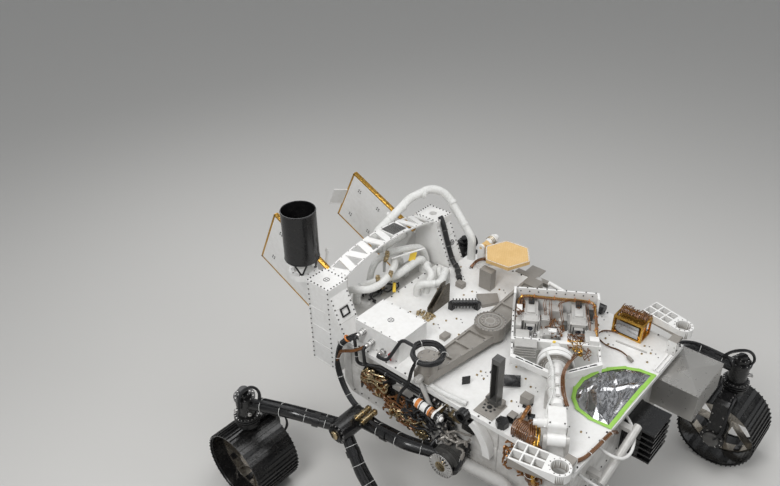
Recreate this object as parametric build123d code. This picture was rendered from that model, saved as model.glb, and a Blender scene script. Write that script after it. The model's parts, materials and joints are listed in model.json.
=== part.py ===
from build123d import *
import os
from collections import namedtuple
from math import atan2, cos, degrees, radians, sin

os.makedirs("parts", exist_ok=True)

# A six-wheeled planetary rover, the ground twin of a flight vehicle, in millimetres.
# +X is forward, +Y is port and +Z is up. Sizes are taken from the point on the floor
# midway between the front and rear axles; save() moves it to the middle of the length.

# Stance
WHEELBASE = 2280.0
CORNER_TRACK = 2352.0
MIDDLE_TRACK = 2500.0
RUNNING_GAP = 0.3

# Wheels
WHEEL_RADIUS = 263.0
WHEEL_WIDTH = 340.0
LUG_COUNT = 48
LUG_HEIGHT = 8.0
LUG_WIDTH = 7.0
BARREL_WALL = 5.0
SPOKE_COUNT = 8
SPOKE_THICKNESS = 5.0
SPOKE_WIDTH = 70.0
SPOKE_RING_WALL = 7.0
SPOKE_SWEEP = 34.0
SPOKE_LEAD = 30.0
SPOKE_OFFSET = 25.0
SPOKE_ROOT = 4.0
HUB_RADIUS = 66.0
HUB_OUTER = 62.0
HUB_INNER = 45.0
HUB_CAP_RADIUS = 44.0
HUB_CAP_LENGTH = 18.0

# Wheel drives, measured inboard from the wheel's middle
MOTOR_RADIUS = 58.0
MOTOR_NOSE_RADIUS = 40.0
MOTOR_NOSE_DEPTH = 35.0
MOTOR_PAD_RADIUS = 80.0
LEG_INNER = 187.0
LEG_THICKNESS = 30.0
LEG_FOOT = 68.0
LEG_CHAMFER = 25.0

# Steering, with its foot over the wheel
STEER_RISE = 77.0
STEER_FOOT = 2 * WHEEL_RADIUS + STEER_RISE
STEER_PIN_RADIUS = 25.0
STEER_PIN_LENGTH = 38.0
KNUCKLE_PLATE = 34.0
KNUCKLE_DEPTH = 96.0
KNUCKLE_TAIL = 60.0

# Body and deck
BODY_FRONT = 850.0
BODY_REAR = -830.0
BODY_HALF_WIDTH = 575.0
BELLY_HEIGHT = 640.0
BODY_NOSE_SLOPE = 90.0
BODY_TAIL_SLOPE = 60.0
WALL_POCKET_DEPTH = 4.0
DECK_HEIGHT = 1100.0
DECK_THICKNESS = 30.0
DECK_UNDER = DECK_HEIGHT - DECK_THICKNESS
DECK_FRONT = 880.0
DECK_REAR = -860.0
DECK_SIDE = BODY_HALF_WIDTH + 35.0
DECK_WING = BODY_HALF_WIDTH + 153.0
NOTCH_FRONT = 60.0
NOTCH_REAR = -220.0
DECK_RAIL = 12.0
DECK_RAIL_Y = 480.0
DECK_RAIL_LENGTH = 195.0

# Rocker and bogie
ROCKER_X = 120.0
ROCKER_Z = 712.0
ROCKER_FLANGE_RADIUS = 112.0
ROCKER_FLANGE_THICKNESS = 16.0
ROCKER_DRUM_RADIUS = 86.0
ROCKER_DRUM_LENGTH = 125.0
ROCKER_CAP_RADIUS = 66.0
ROCKER_CAP_LENGTH = 40.0
ROCKER_FINS = 4
FIN_THICKNESS = 5.0
FIN_PITCH = 11.0
FIN_HEIGHT = 11.0
BOGIE_X = -530.0
BOGIE_Z = 705.0
BOGIE_FACE = BODY_HALF_WIDTH + 255.0
BOGIE_DRUM_RADIUS = 74.0
BOGIE_DRUM_LENGTH = 130.0
BOGIE_CAP_RADIUS = 48.0
BOGIE_CAP_LENGTH = 14.0
CHEEK_THICKNESS = 80.0
PAD_THICKNESS = 84.0
ARM_RADIUS = 38.0
ARM_ROOT_INSET = 75.0
ARM_STEER_HEIGHT = STEER_FOOT + 137.0
SLEEVE_RADIUS = 46.0
SLEEVE_LENGTH = 40.0

# Pair of round valves on the starboard rocker's rear arm
VALVE_X = -440.0
VALVE_Y = BOGIE_FACE - 44.0
VALVE_SEAT = BOGIE_Z + 60.0
VALVE_PAD = 34.0
VALVE_PAD_LENGTH = 84.0
VALVE_PAD_WIDTH = 60.0
VALVE_RADIUS = 19.0
VALVE_LENGTH = 118.0
VALVE_PITCH = 50.0
VALVE_BAND = 3.0
VALVE_BAND_WIDTH = 12.0

# Rear towers
TOWER_X = -980.0
TOWER_Y = 540.0
TOWER_RISE = 340.0
TOWER_TOP = DECK_HEIGHT + TOWER_RISE
TOWER_FOOT = 800.0
TOWER_LENGTH = 200.0
TOWER_WIDTH = 172.0
TOWER_SHOULDER = 50.0
TOWER_SLOPE_X = -760.0
TOWER_PLATE = 12.0
TOWER_LIP = 6.0
TOWER_NOTCH_GAP = 4.0
TOWER_SEAMS = 4
TOWER_BORE_RADIUS = 28.0
TOWER_BORE_DEPTH = 60.0
TOWER_REAR = TOWER_X - TOWER_LENGTH / 2
TOWER_FRONT = TOWER_X + TOWER_LENGTH / 2

# Truss between the towers
TRUSS_WIDTH = 150.0
TRUSS_DEPTH = 12.0
TRUSS_RISE = 72.0
TRUSS_BAYS = 10
TRUSS_RAIL = 10.0
TRUSS_WEB = 8.0
TRUSS_PLATE_Y = 110.0
TRUSS_PLATE_LENGTH = 150.0

# Tray with the fluid pipes, between the towers
TRAY_REAR = -1070.0
TRAY_HALF_WIDTH = 450.0
TRAY_THICKNESS = 40.0
TRAY_DROP = 60.0

# Rear exchanger plates, each two skins on a core
PLATE_LENGTH = 640.0
PLATE_HEIGHT = 470.0
PLATE_SKIN = 6.0
PLATE_CORE = 20.0
PLATE_CORE_INSET = 6.0
PLATE_SLOPE = 25.5
PLATE_REAR = -1810.0
PLATE_RISE = 100.0
PLATE_Y = 375.0
PLATE_OUTER = PLATE_Y + 2 * PLATE_SKIN + PLATE_CORE
FLAP_LOW = 130.0
FLAP_HEIGHT = 160.0
FLAP_LENGTH = 110.0
FLAP_TURN = 60.0
FLAP_THICKNESS = 3.0

# Mast, folded across the deck: places along it are measured from its hinge
MAST_HINGE = (727.0, -554.0, DECK_HEIGHT + 100.0)
MAST_HEADING = (-0.53, 0.85, 0.0)
MAST_HINGE_RADIUS = 34.0
MAST_PIN_RADIUS = 15.0
MAST_RADIUS = 42.0
MAST_RISE = 60.0
MAST_FORK_GAP = 96.0
MAST_CHEEK = 20.0
MAST_HOUSING_LENGTH = 180.0
MAST_HOUSING_TOP = 85.0
MAST_SLEEVES = (215.0, 300.0, 385.0)
MAST_DRUM_AT = 500.0
MAST_DRUM_LENGTH = 62.0
MAST_DRUM_RADIUS = 106.0
MAST_DRUM_DISC = 62.0
MAST_CONE_LENGTH = 135.0
MAST_CONE_TIP = 26.0
HEAD_FOOT = 20.0
HEAD_HALF_WIDTH = 262.0
HEAD_RAIL = 14.0
HEAD_RAIL_HEIGHT = 40.0
HEAD_BEAM_AT = 700.0
HEAD_END_AT = 1056.0
HEAD_END_THICKNESS = 12.0
HEAD_END_TOP = 200.0
HEAD_FLOOR = 8.0
ARM_FOOT_AT = 424.0
ARM_HEAD_AT = 536.0
ARM_BREADTH = 26.0

# Flat antenna
DISH_PIVOT = (-600.0, BODY_HALF_WIDTH + 85.0, DECK_HEIGHT + 162.0)
DISH_CENTRE = (-375.0, BODY_HALF_WIDTH + 37.0)
DISH_BACK = DECK_HEIGHT + 184.0
DISH_THICKNESS = 26.0
DISH_RADIUS = 172.0
DISH_TURN = 6.0
DISH_RIM = 9.0
DISH_RECESS = 3.0
DISH_PIN_RADIUS = 10.0
DISH_EAR_GAP = 32.0
DISH_EAR_THICKNESS = 16.0

# Differential on the deck
PIVOT_X = -85.0
PIVOT_TOP = DECK_HEIGHT + 136.0
PIVOT_RADIUS = 100.0
PIVOT_CAP_RADIUS = 62.0
PIVOT_CAP_HEIGHT = 8.0
BEAM_END_Y = 560.0
BEAM_X = -135.0
BEAM_FOOT = DECK_HEIGHT + 40.0
BEAM_HEIGHT = 60.0
BEAM_WIDTH = 110.0
BEAM_ROOT = 170.0
LINK_Y = BODY_HALF_WIDTH + 65.0
LINK_EYE_RADIUS = 24.0
LINK_EYE_LENGTH = 40.0
LINK_RADIUS = 14.0
CANISTER_RADIUS = 62.0
CANISTER_HEIGHT = 92.0
COIL_RADIUS = 86.0
COIL_THICKNESS = 40.0

# Brackets at the front corners of the deck
BRACKET_X = 850.0
BRACKET_Y = 730.0
BRACKET_TOP = DECK_HEIGHT + 140.0
BRACKET_DEPTH = 60.0
BRACKET_FLOOR = 12.0
BRACKET_LENGTH = 250.0
BRACKET_REAR_WIDTH = 140.0
BRACKET_TOE = -12.0
BRACKET_RING_RADIUS = 46.0
BRACKET_RING_WALL = 16.0
BRACKET_POST_WIDTH = 56.0
BRACKET_POST_THICKNESS = 16.0
BRACKET_SHELF = 20.0

# Antenna can behind the starboard tower
CAN_X = -1195.0
CAN_Y = -540.0
CAN_FOOT = TOWER_TOP + 80.0
CAN_HEIGHT = 355.0
CAN_RADIUS = 113.0
CAN_WALL = 4.0
CAN_STRUT = 6.0
CAN_RING_OUTER = 95.0
CAN_RING_INNER = 62.0
CAN_RING_DEPTH = 40.0

# Electronics box on the deck
BOX_X = -540.0
BOX_Y = 150.0 - BODY_HALF_WIDTH
BOX_LENGTH = 360.0
BOX_WIDTH = 270.0
BOX_HEIGHT = 170.0

# Sheet metal box in front of the port corner
CREASE_Y = 600.0
CREASE_DROP = 60.0
CREASE_LENGTH = 270.0
CREASE_WIDTH = 390.0
CREASE_HEIGHT = 200.0
CREASE_RISE = 10.0

FRONT_END = WHEELBASE / 2 + WHEEL_RADIUS
ORIGIN_X = (FRONT_END + PLATE_REAR) / 2
CABLE_RADIUS = 11.0
HARNESS_RADIUS = 13.0

BASE = (Align.CENTER, Align.CENTER, Align.MIN)

Corner = namedtuple("Corner", "name x side")
CORNERS = (
    Corner("front_left", WHEELBASE / 2, 1),
    Corner("front_right", WHEELBASE / 2, -1),
    Corner("rear_left", -WHEELBASE / 2, 1),
    Corner("rear_right", -WHEELBASE / 2, -1),
)
MIDDLES = (
    Corner("middle_left", 0.0, 1),
    Corner("middle_right", 0.0, -1),
)

# Steps of a steering drive from its foot
Step = namedtuple("Step", "radius height")
STEER_STEPS = (
    Step(75.0, 40.0),
    Step(62.0, 150.0),
    Step(70.0, 14.0),
    Step(48.0, 30.0),
    Step(30.0, 25.0),
)

# Shallow pockets milled in the body's side walls
Pocket = namedtuple("Pocket", "x rise length height")
WALL_POCKETS = (
    Pocket(-650.0, -190.0, 220.0, 120.0),
    Pocket(420.0, -170.0, 260.0, 110.0),
    Pocket(700.0, -170.0, 180.0, 110.0),
)

# Connectors on the starboard wall of the electronics box
Connector = namedtuple("Connector", "x rise radius length")
CONNECTORS = (
    Connector(-640.0, 118.0, 17.0, 46.0),
    Connector(-570.0, 70.0, 17.0, 46.0),
    Connector(-480.0, 40.0, 17.0, 22.0),
)

# Plain boxes on the mast head, with places along and across the folded mast
HeadBox = namedtuple("HeadBox", "along across length width height")
HEAD_BOXES = (
    HeadBox(910.0, 60.0, 60.0, 50.0, 70.0),
    HeadBox(800.0, 50.0, 60.0, 50.0, 46.0),
    HeadBox(800.0, -205.0, 70.0, 60.0, 60.0),
    HeadBox(980.0, 0.0, 70.0, 60.0, 96.0),
)
HEAD_CAMERAS = (150.0, -138.0)
CAMERA_AT = 845.0
CAMERA_LENGTH = 190.0
CAMERA_WIDTH = 84.0
CAMERA_HEIGHT = 104.0
HOOD_LENGTH = 26.0
HOOD_WIDTH = 54.0
HOOD_HEIGHT = 58.0
HOOD_WALL = 5.0
RIBBED_AT = 612.0
RIBBED_ACROSS = 176.0
RIBBED_WIDTH = 130.0
RIBBED_HEIGHT = 78.0
RIBBED_FINS = 5

# Plain units that stand on the deck
DeckUnit = namedtuple("DeckUnit", "x y dx dy height")
DECK_UNITS = (
    DeckUnit(425.0, -500.0, 44.0, 52.0, 46.0),
    DeckUnit(474.0, -480.0, 44.0, 52.0, 46.0),
    DeckUnit(413.0, -335.0, 62.0, 52.0, 60.0),
    DeckUnit(-415.0, 440.0, 96.0, 60.0, 150.0),
    DeckUnit(-300.0, -180.0, 46.0, 60.0, 28.0),
    DeckUnit(-560.0, 330.0, 60.0, 44.0, 36.0),
    DeckUnit(160.0, -250.0, 40.0, 60.0, 24.0),
)
PEDESTAL_X = 282.0
PEDESTAL_Y = -505.0
PEDESTAL_LENGTH = 130.0
PEDESTAL_WIDTH = 150.0
PEDESTAL_THICKNESS = 8.0
POST_X = 280.0
POST_Y = -455.0
POST_HEIGHT = 335.0
POST_SIZE = 54.0
POST_WALL = 6.0
POST_FLARE = 56.0
POST_FLARE_HEIGHT = 34.0
RIBS = 8
GUIDE_X = 182.0
GUIDE_Z = DECK_HEIGHT - 18.0
GUIDE_RADIUS = 40.0
GUIDE_LENGTH = 46.0
GUIDE_FLOOR = 12.0

# Connector block and cylinder on the starboard wall
BLOCK_X = 100.0
BLOCK_FOOT = DECK_HEIGHT - 140.0
BLOCK_LENGTH = 80.0
BLOCK_DEPTH = 30.0
BLOCK_HEIGHT = 48.0
SADDLE_X = 30.0
SADDLE_THICKNESS = 16.0


def save(name, *solids):
    """Write one node, with the middle of the length as its origin."""
    moved = [Pos(-ORIGIN_X, 0, 0) * solid for solid in solids]
    whole = moved[0] if len(moved) == 1 else Compound(children=moved)
    export_step(whole, f"parts/{name}.step")


def slab(x, y, z, dx, dy, dz):
    """Box with the middle of its foot at x, y, z."""
    return Pos(x, y, z) * Box(dx, dy, dz, align=BASE)


def post(x, y, z, radius, height):
    """Upright cylinder on x, y, z."""
    return Pos(x, y, z) * Cylinder(radius, height, align=BASE)


def rod(start, end, radius):
    """Straight round bar from one point to another."""
    run = Vector(*end) - Vector(*start)
    return Plane(origin=start, z_dir=run).location * Cylinder(radius, run.length, align=BASE)


def shaft(x, z, y_from, y_to, radius):
    """Cylinder along Y."""
    return rod((x, y_from, z), (x, y_to, z), radius)


def bent_tube(points, radius, bends):
    """Round tube along straight runs joined by arcs."""
    path = FilletPolyline(*points, radius=bends)
    return sweep(Plane(origin=path @ 0, z_dir=path % 0) * Circle(radius), path=path)


def prism(points, foot, height):
    """Upright prism on an outline in plan."""
    return Pos(0, 0, foot) * extrude(make_face(Polyline(*points, close=True)), height, dir=(0, 0, 1))


def side_prism(points, y_from, y_to):
    """Prism along Y on an outline seen from the side."""
    outline = Plane.XZ * make_face(Polyline(*points, close=True))
    return Pos(0, y_from, 0) * extrude(outline, y_to - y_from, dir=(0, 1, 0))


def on_side(shape, side):
    """The port piece, or its mirror image for starboard."""
    return shape if side > 0 else mirror(shape, Plane.XZ)


def polar(radius, degrees_round):
    """Point on a circle."""
    return (radius * cos(radians(degrees_round)), radius * sin(radians(degrees_round)))


def sleeve(start, end, share):
    """Coupling round an arm, at a share of one of its runs."""
    run = Vector(*end) - Vector(*start)
    middle = Vector(*start) + run * share
    half = run.normalized() * (SLEEVE_LENGTH / 2)
    return rod(tuple(middle - half), tuple(middle + half), SLEEVE_RADIUS)


def lug_outline():
    """Outline of the barrel with its lugs, each tip flat at the wheel's radius."""
    root = WHEEL_RADIUS - LUG_HEIGHT
    half = LUG_WIDTH / 2
    points = []
    for index in range(LUG_COUNT):
        turn = 360.0 * index / LUG_COUNT
        for radius, offset in ((root, -half), (WHEEL_RADIUS, -half), (WHEEL_RADIUS, half), (root, half)):
            along = radius * cos(radians(turn)) - offset * sin(radians(turn))
            across = radius * sin(radians(turn)) + offset * cos(radians(turn))
            points.append((along, across))
    return make_face(Polyline(*points, close=True))


def wheel_barrel():
    """Thin barrel with straight lugs, along Y about the origin."""
    bore = WHEEL_RADIUS - LUG_HEIGHT - BARREL_WALL
    ring = lug_outline() - RegularPolygon(bore, LUG_COUNT, major_radius=False)
    return Rot(90, 0, 0) * (Pos(0, 0, -WHEEL_WIDTH / 2) * extrude(ring, WHEEL_WIDTH))


def spoke_face(inner, outer):
    """One curved spoke in the wheel's plane."""
    stations = ((inner, 0.0), ((inner + outer) / 2, SPOKE_LEAD), (outer, SPOKE_SWEEP))
    edges = []
    for sign in (-1, 1):
        edges.append([
            polar(radius, turn + sign * degrees(SPOKE_THICKNESS / (2 * radius)))
            for radius, turn in stations
        ])
    near, far = edges
    return make_face([
        ThreePointArc(*near),
        Line(near[2], far[2]),
        ThreePointArc(*reversed(far)),
        Line(far[0], near[0]),
    ])


def wheel_centre():
    """Hub, curved spokes and spoke ring, with the outboard side toward +Y."""
    ring_outer = WHEEL_RADIUS - LUG_HEIGHT - BARREL_WALL - RUNNING_GAP / 2
    ring_inner = ring_outer - SPOKE_RING_WALL
    spokes = [
        Rot(0, 0, 360.0 * index / SPOKE_COUNT) * spoke_face(HUB_RADIUS - SPOKE_ROOT, ring_inner + SPOKE_ROOT)
        for index in range(SPOKE_COUNT)
    ]
    web = Sketch() + spokes + (Circle(ring_outer) - Circle(ring_inner))
    centre = Pos(0, 0, SPOKE_OFFSET - SPOKE_WIDTH / 2) * extrude(web, SPOKE_WIDTH)
    centre += post(0, 0, -HUB_INNER + RUNNING_GAP, HUB_RADIUS, HUB_INNER + HUB_OUTER - RUNNING_GAP)
    centre += post(0, 0, HUB_OUTER, HUB_CAP_RADIUS, HUB_CAP_LENGTH)
    bore = post(0, 0, -HUB_INNER, MOTOR_NOSE_RADIUS + RUNNING_GAP, MOTOR_NOSE_DEPTH + RUNNING_GAP)
    return Rot(-90, 0, 0) * (centre - bore)


def hub_motor():
    """Wheel drive inboard of the wheel's middle, with its nose in the hub."""
    motor = shaft(0, 0, -LEG_INNER, -HUB_INNER, MOTOR_RADIUS)
    return motor + shaft(0, 0, -HUB_INNER, -HUB_INNER + MOTOR_NOSE_DEPTH, MOTOR_NOSE_RADIUS)


def knuckle():
    """Steering bracket over and inboard of the wheel, about the steering axis."""
    top = STEER_FOOT - RUNNING_GAP - WHEEL_RADIUS
    under = top - KNUCKLE_PLATE
    outer = LEG_INNER + LEG_THICKNESS
    profile = Polyline(
        (KNUCKLE_TAIL, top),
        (-outer + LEG_CHAMFER, top),
        (-outer, top - LEG_CHAMFER),
        (-outer, -LEG_FOOT),
        (-LEG_INNER, -LEG_FOOT),
        (-LEG_INNER, under - LEG_CHAMFER),
        (-LEG_INNER + LEG_CHAMFER, under),
        (KNUCKLE_TAIL, under),
        close=True,
    )
    bracket = extrude(Plane.YZ * make_face(profile), KNUCKLE_DEPTH / 2, both=True)
    bracket += post(0, 0, under, STEER_STEPS[0].radius, KNUCKLE_PLATE)
    bracket += post(0, 0, top, STEER_PIN_RADIUS, STEER_PIN_LENGTH)
    return bracket + shaft(0, 0, -outer, -LEG_INNER, MOTOR_PAD_RADIUS)


def stepped_drum(clearance):
    """Outside of a steering drive, grown all round by the clearance."""
    height = STEER_FOOT
    sections = []
    for step in STEER_STEPS:
        sections.append(post(0, 0, height - clearance, step.radius + clearance, step.height + 2 * clearance))
        height += step.height
    return sections[0] + sections[1:]


def steering_drive():
    """Stepped drum over the steering axis, with the bore for the knuckle's pin."""
    bore = post(0, 0, STEER_FOOT, STEER_PIN_RADIUS + RUNNING_GAP, STEER_PIN_LENGTH + RUNNING_GAP)
    return stepped_drum(0) - bore


def rocker(with_valve_pad):
    """Port rocker: finned pivot drum, front arm to the steering drive, rear arm to the bogie."""
    wall = BODY_HALF_WIDTH
    drum_end = wall + ROCKER_DRUM_LENGTH
    body = shaft(ROCKER_X, ROCKER_Z, wall, wall + ROCKER_FLANGE_THICKNESS, ROCKER_FLANGE_RADIUS)
    body += shaft(ROCKER_X, ROCKER_Z, wall, drum_end, ROCKER_DRUM_RADIUS)
    body += shaft(ROCKER_X, ROCKER_Z, drum_end, drum_end + ROCKER_CAP_LENGTH, ROCKER_CAP_RADIUS)
    for index in range(ROCKER_FINS):
        fin = drum_end - index * FIN_PITCH
        body += shaft(ROCKER_X, ROCKER_Z, fin - FIN_THICKNESS, fin, ROCKER_DRUM_RADIUS + FIN_HEIGHT)
    steer_x = WHEELBASE / 2
    steer_y = CORNER_TRACK / 2
    root = (ROCKER_X, wall + ARM_ROOT_INSET, ROCKER_Z)
    front_knee = (560, wall + 95, 800)
    front_bend = (790, steer_y - 66, 812)
    steer = (steer_x, steer_y, ARM_STEER_HEIGHT)
    rear_knee = (-120, BOGIE_FACE - 60, 745)
    bogie_end = (BOGIE_X, BOGIE_FACE - CHEEK_THICKNESS / 2, BOGIE_Z)
    body += bent_tube([root, front_knee, front_bend, steer], ARM_RADIUS, [150, 150])
    body += bent_tube([root, rear_knee, bogie_end], ARM_RADIUS, [150])
    body += sleeve(front_knee, front_bend, 0.5)
    body += sleeve(front_bend, steer, 0.45)
    body += sleeve(rear_knee, bogie_end, 0.4)
    body += shaft(BOGIE_X, BOGIE_Z, BOGIE_FACE - CHEEK_THICKNESS, BOGIE_FACE, BOGIE_DRUM_RADIUS)
    if with_valve_pad:
        body += slab(
            VALVE_X, VALVE_Y, VALVE_SEAT - VALVE_PAD, VALVE_PAD_LENGTH, VALVE_PAD_WIDTH, VALVE_PAD)
    return body - Pos(steer_x, steer_y, 0) * stepped_drum(RUNNING_GAP)


def twin_valves():
    """Two stepped cylinders side by side on a saddle over the rocker's rear arm, as if to port."""
    centre = VALVE_SEAT + VALVE_RADIUS + 2 * VALVE_BAND
    pair = slab(VALVE_X, VALVE_Y, VALVE_SEAT, VALVE_PAD_LENGTH, VALVE_PAD_WIDTH / 2, VALVE_RADIUS)
    start = VALVE_Y - VALVE_LENGTH / 2
    end = start + VALVE_LENGTH
    for side in (-1, 1):
        x = VALVE_X + side * VALVE_PITCH / 2
        pair += shaft(x, centre, start, end, VALVE_RADIUS)
        pair += shaft(x, centre, start - VALVE_BAND_WIDTH, end + VALVE_BAND_WIDTH, VALVE_RADIUS / 2)
        for place in (0.0, 0.5, 1.0):
            band = start + place * (VALVE_LENGTH - VALVE_BAND_WIDTH)
            pair += shaft(x, centre, band, band + VALVE_BAND_WIDTH, VALVE_RADIUS + VALVE_BAND)
    return pair


def bogie():
    """Port bogie: pivot drum, rear arm to the steering drive and front arm to the middle wheel."""
    drum_end = BOGIE_FACE + BOGIE_DRUM_LENGTH
    steer_x = -WHEELBASE / 2
    steer_y = CORNER_TRACK / 2
    pad_outer = MIDDLE_TRACK / 2 - LEG_INNER
    pivot = (BOGIE_X, BOGIE_FACE + BOGIE_DRUM_LENGTH / 2, BOGIE_Z)
    rear_bend = (-800, steer_y - 116, 780)
    steer = (steer_x, steer_y, ARM_STEER_HEIGHT)
    front_bend = (-330, pad_outer - 103, 500)
    pad = (0, pad_outer - PAD_THICKNESS / 2, WHEEL_RADIUS)
    body = shaft(BOGIE_X, BOGIE_Z, BOGIE_FACE, drum_end, BOGIE_DRUM_RADIUS)
    body += shaft(BOGIE_X, BOGIE_Z, drum_end, drum_end + BOGIE_CAP_LENGTH, BOGIE_CAP_RADIUS)
    body += bent_tube([pivot, rear_bend, steer], ARM_RADIUS, [180])
    body += bent_tube([pivot, front_bend, pad], ARM_RADIUS, [180])
    body += sleeve(pivot, rear_bend, 0.55)
    body += sleeve(pivot, front_bend, 0.55)
    body += shaft(0, WHEEL_RADIUS, pad_outer - PAD_THICKNESS, pad_outer, MOTOR_PAD_RADIUS)
    return body - Pos(steer_x, steer_y, 0) * stepped_drum(RUNNING_GAP)


def body_box():
    """Closed equipment box under the deck, with a raked lower nose and pocketed walls."""
    outline = (
        (BODY_REAR, BELLY_HEIGHT + BODY_TAIL_SLOPE),
        (BODY_REAR + BODY_TAIL_SLOPE, BELLY_HEIGHT),
        (BODY_FRONT - BODY_NOSE_SLOPE, BELLY_HEIGHT),
        (BODY_FRONT, BELLY_HEIGHT + BODY_NOSE_SLOPE),
        (BODY_FRONT, DECK_UNDER),
        (BODY_REAR, DECK_UNDER),
    )
    box = side_prism(outline, -BODY_HALF_WIDTH, BODY_HALF_WIDTH)
    for pocket in WALL_POCKETS:
        for side in (-1, 1):
            box -= slab(
                pocket.x, side * BODY_HALF_WIDTH, DECK_UNDER + pocket.rise,
                pocket.length, 2 * WALL_POCKET_DEPTH, pocket.height)
    return box


def deck():
    """Top deck, cut in where the towers stand and where the port link drops."""
    outline = (
        (DECK_REAR, -DECK_SIDE), (DECK_FRONT, -DECK_SIDE), (DECK_FRONT, DECK_WING),
        (NOTCH_FRONT, DECK_WING), (NOTCH_FRONT, DECK_SIDE), (NOTCH_REAR, DECK_SIDE),
        (NOTCH_REAR, DECK_WING), (TOWER_SLOPE_X, DECK_WING), (TOWER_SLOPE_X, TRAY_HALF_WIDTH),
        (DECK_REAR, TRAY_HALF_WIDTH),
    )
    plate = prism(outline, DECK_UNDER, DECK_THICKNESS)
    notch = TOWER_WIDTH + 2 * TOWER_NOTCH_GAP
    plate -= slab(TOWER_X, -TOWER_Y, 0, 2 * (TOWER_SLOPE_X - TOWER_X), notch, 2 * DECK_HEIGHT)
    for index in (0, 1):
        plate += slab(
            DECK_FRONT - (2 * index + 1) * DECK_RAIL, DECK_RAIL_Y, DECK_HEIGHT,
            DECK_RAIL, DECK_RAIL_LENGTH, DECK_RAIL)
    return plate


def tower(bored):
    """Port rear tower with a raked front, seated on the body's rear wall and top."""
    under_cap = TOWER_TOP - TOWER_PLATE
    outline = (
        (TOWER_REAR, TOWER_FOOT), (BODY_REAR, TOWER_FOOT), (BODY_REAR, DECK_UNDER),
        (TOWER_SLOPE_X, DECK_UNDER), (TOWER_SLOPE_X, DECK_HEIGHT),
        (TOWER_FRONT, under_cap - TOWER_SHOULDER), (TOWER_FRONT, under_cap), (TOWER_REAR, under_cap),
    )
    half = TOWER_WIDTH / 2 - TOWER_LIP
    whole = side_prism(outline, TOWER_Y - half, TOWER_Y + half)
    whole += slab(TOWER_X, TOWER_Y, under_cap, TOWER_LENGTH, TOWER_WIDTH, TOWER_PLATE)
    pitch = (under_cap - TOWER_SHOULDER - TOWER_FOOT) / TOWER_SEAMS
    for index in range(TOWER_SEAMS):
        whole -= slab(
            TOWER_X, TOWER_Y + half, TOWER_FOOT + index * pitch + TOWER_LIP,
            TOWER_LENGTH - 4 * TOWER_LIP, TOWER_LIP, pitch - 2 * TOWER_LIP)
    if bored:
        whole -= post(TOWER_X, TOWER_Y, TOWER_TOP - TOWER_BORE_DEPTH, TOWER_BORE_RADIUS, TOWER_BORE_DEPTH)
    return whole


def exchanger_plate():
    """Port exchanger plate, raked up to the rear, with a bent flap and a rod with a knob."""
    slope = radians(PLATE_SLOPE)
    along = Vector(cos(slope), 0, -sin(slope))
    up = Vector(sin(slope), 0, cos(slope))
    corner = Vector(PLATE_REAR, PLATE_Y, DECK_HEIGHT + PLATE_RISE)

    def layer(depth, thickness, inset):
        """One layer of the sandwich, cut back from the edges."""
        origin = corner + along * inset + up * inset + Vector(0, depth, 0)
        sheet = Rectangle(PLATE_LENGTH - 2 * inset, PLATE_HEIGHT - 2 * inset, align=(Align.MIN, Align.MAX))
        return extrude(Plane(origin=origin, x_dir=along, z_dir=(0, 1, 0)) * sheet, thickness)

    panel = layer(0, PLATE_SKIN, 0)
    panel += layer(PLATE_SKIN, PLATE_CORE, PLATE_CORE_INSET)
    panel += layer(PLATE_SKIN + PLATE_CORE, PLATE_SKIN, 0)
    outward = along * -cos(radians(FLAP_TURN)) + Vector(0, -sin(radians(FLAP_TURN)), 0)
    flap_foot = corner + up * FLAP_LOW + along * PLATE_SKIN + Vector(0, FLAP_THICKNESS, 0)
    face = Plane(origin=flap_foot, x_dir=outward, z_dir=outward.cross(up))
    panel += extrude(face * Rectangle(FLAP_LENGTH, FLAP_HEIGHT, align=Align.MIN), FLAP_THICKNESS, both=True)
    rod_radius = 8.0
    foot = corner + along * (PLATE_LENGTH * 0.82) + up * (PLATE_HEIGHT * 0.86) + Vector(0, rod_radius, 0)
    reach = Vector(-40, -68, 105)
    tip = foot + reach
    knob = rod(tuple(tip), tuple(tip + reach * 0.15), 1.7 * rod_radius)
    return panel + rod(tuple(foot), tuple(tip), rod_radius) + knob


def plate_stay():
    """Port stay from the tower's rear wall to the exchanger plate."""
    reach = 110.0
    outline = (
        (TOWER_REAR, TOWER_Y - 30), (TOWER_REAR - reach, PLATE_OUTER + 40), (TOWER_REAR - reach, PLATE_OUTER),
        (TOWER_REAR - reach / 2, PLATE_OUTER), (TOWER_REAR, TOWER_Y - 76),
    )
    return prism(outline, DECK_HEIGHT + 30, 140)


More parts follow.
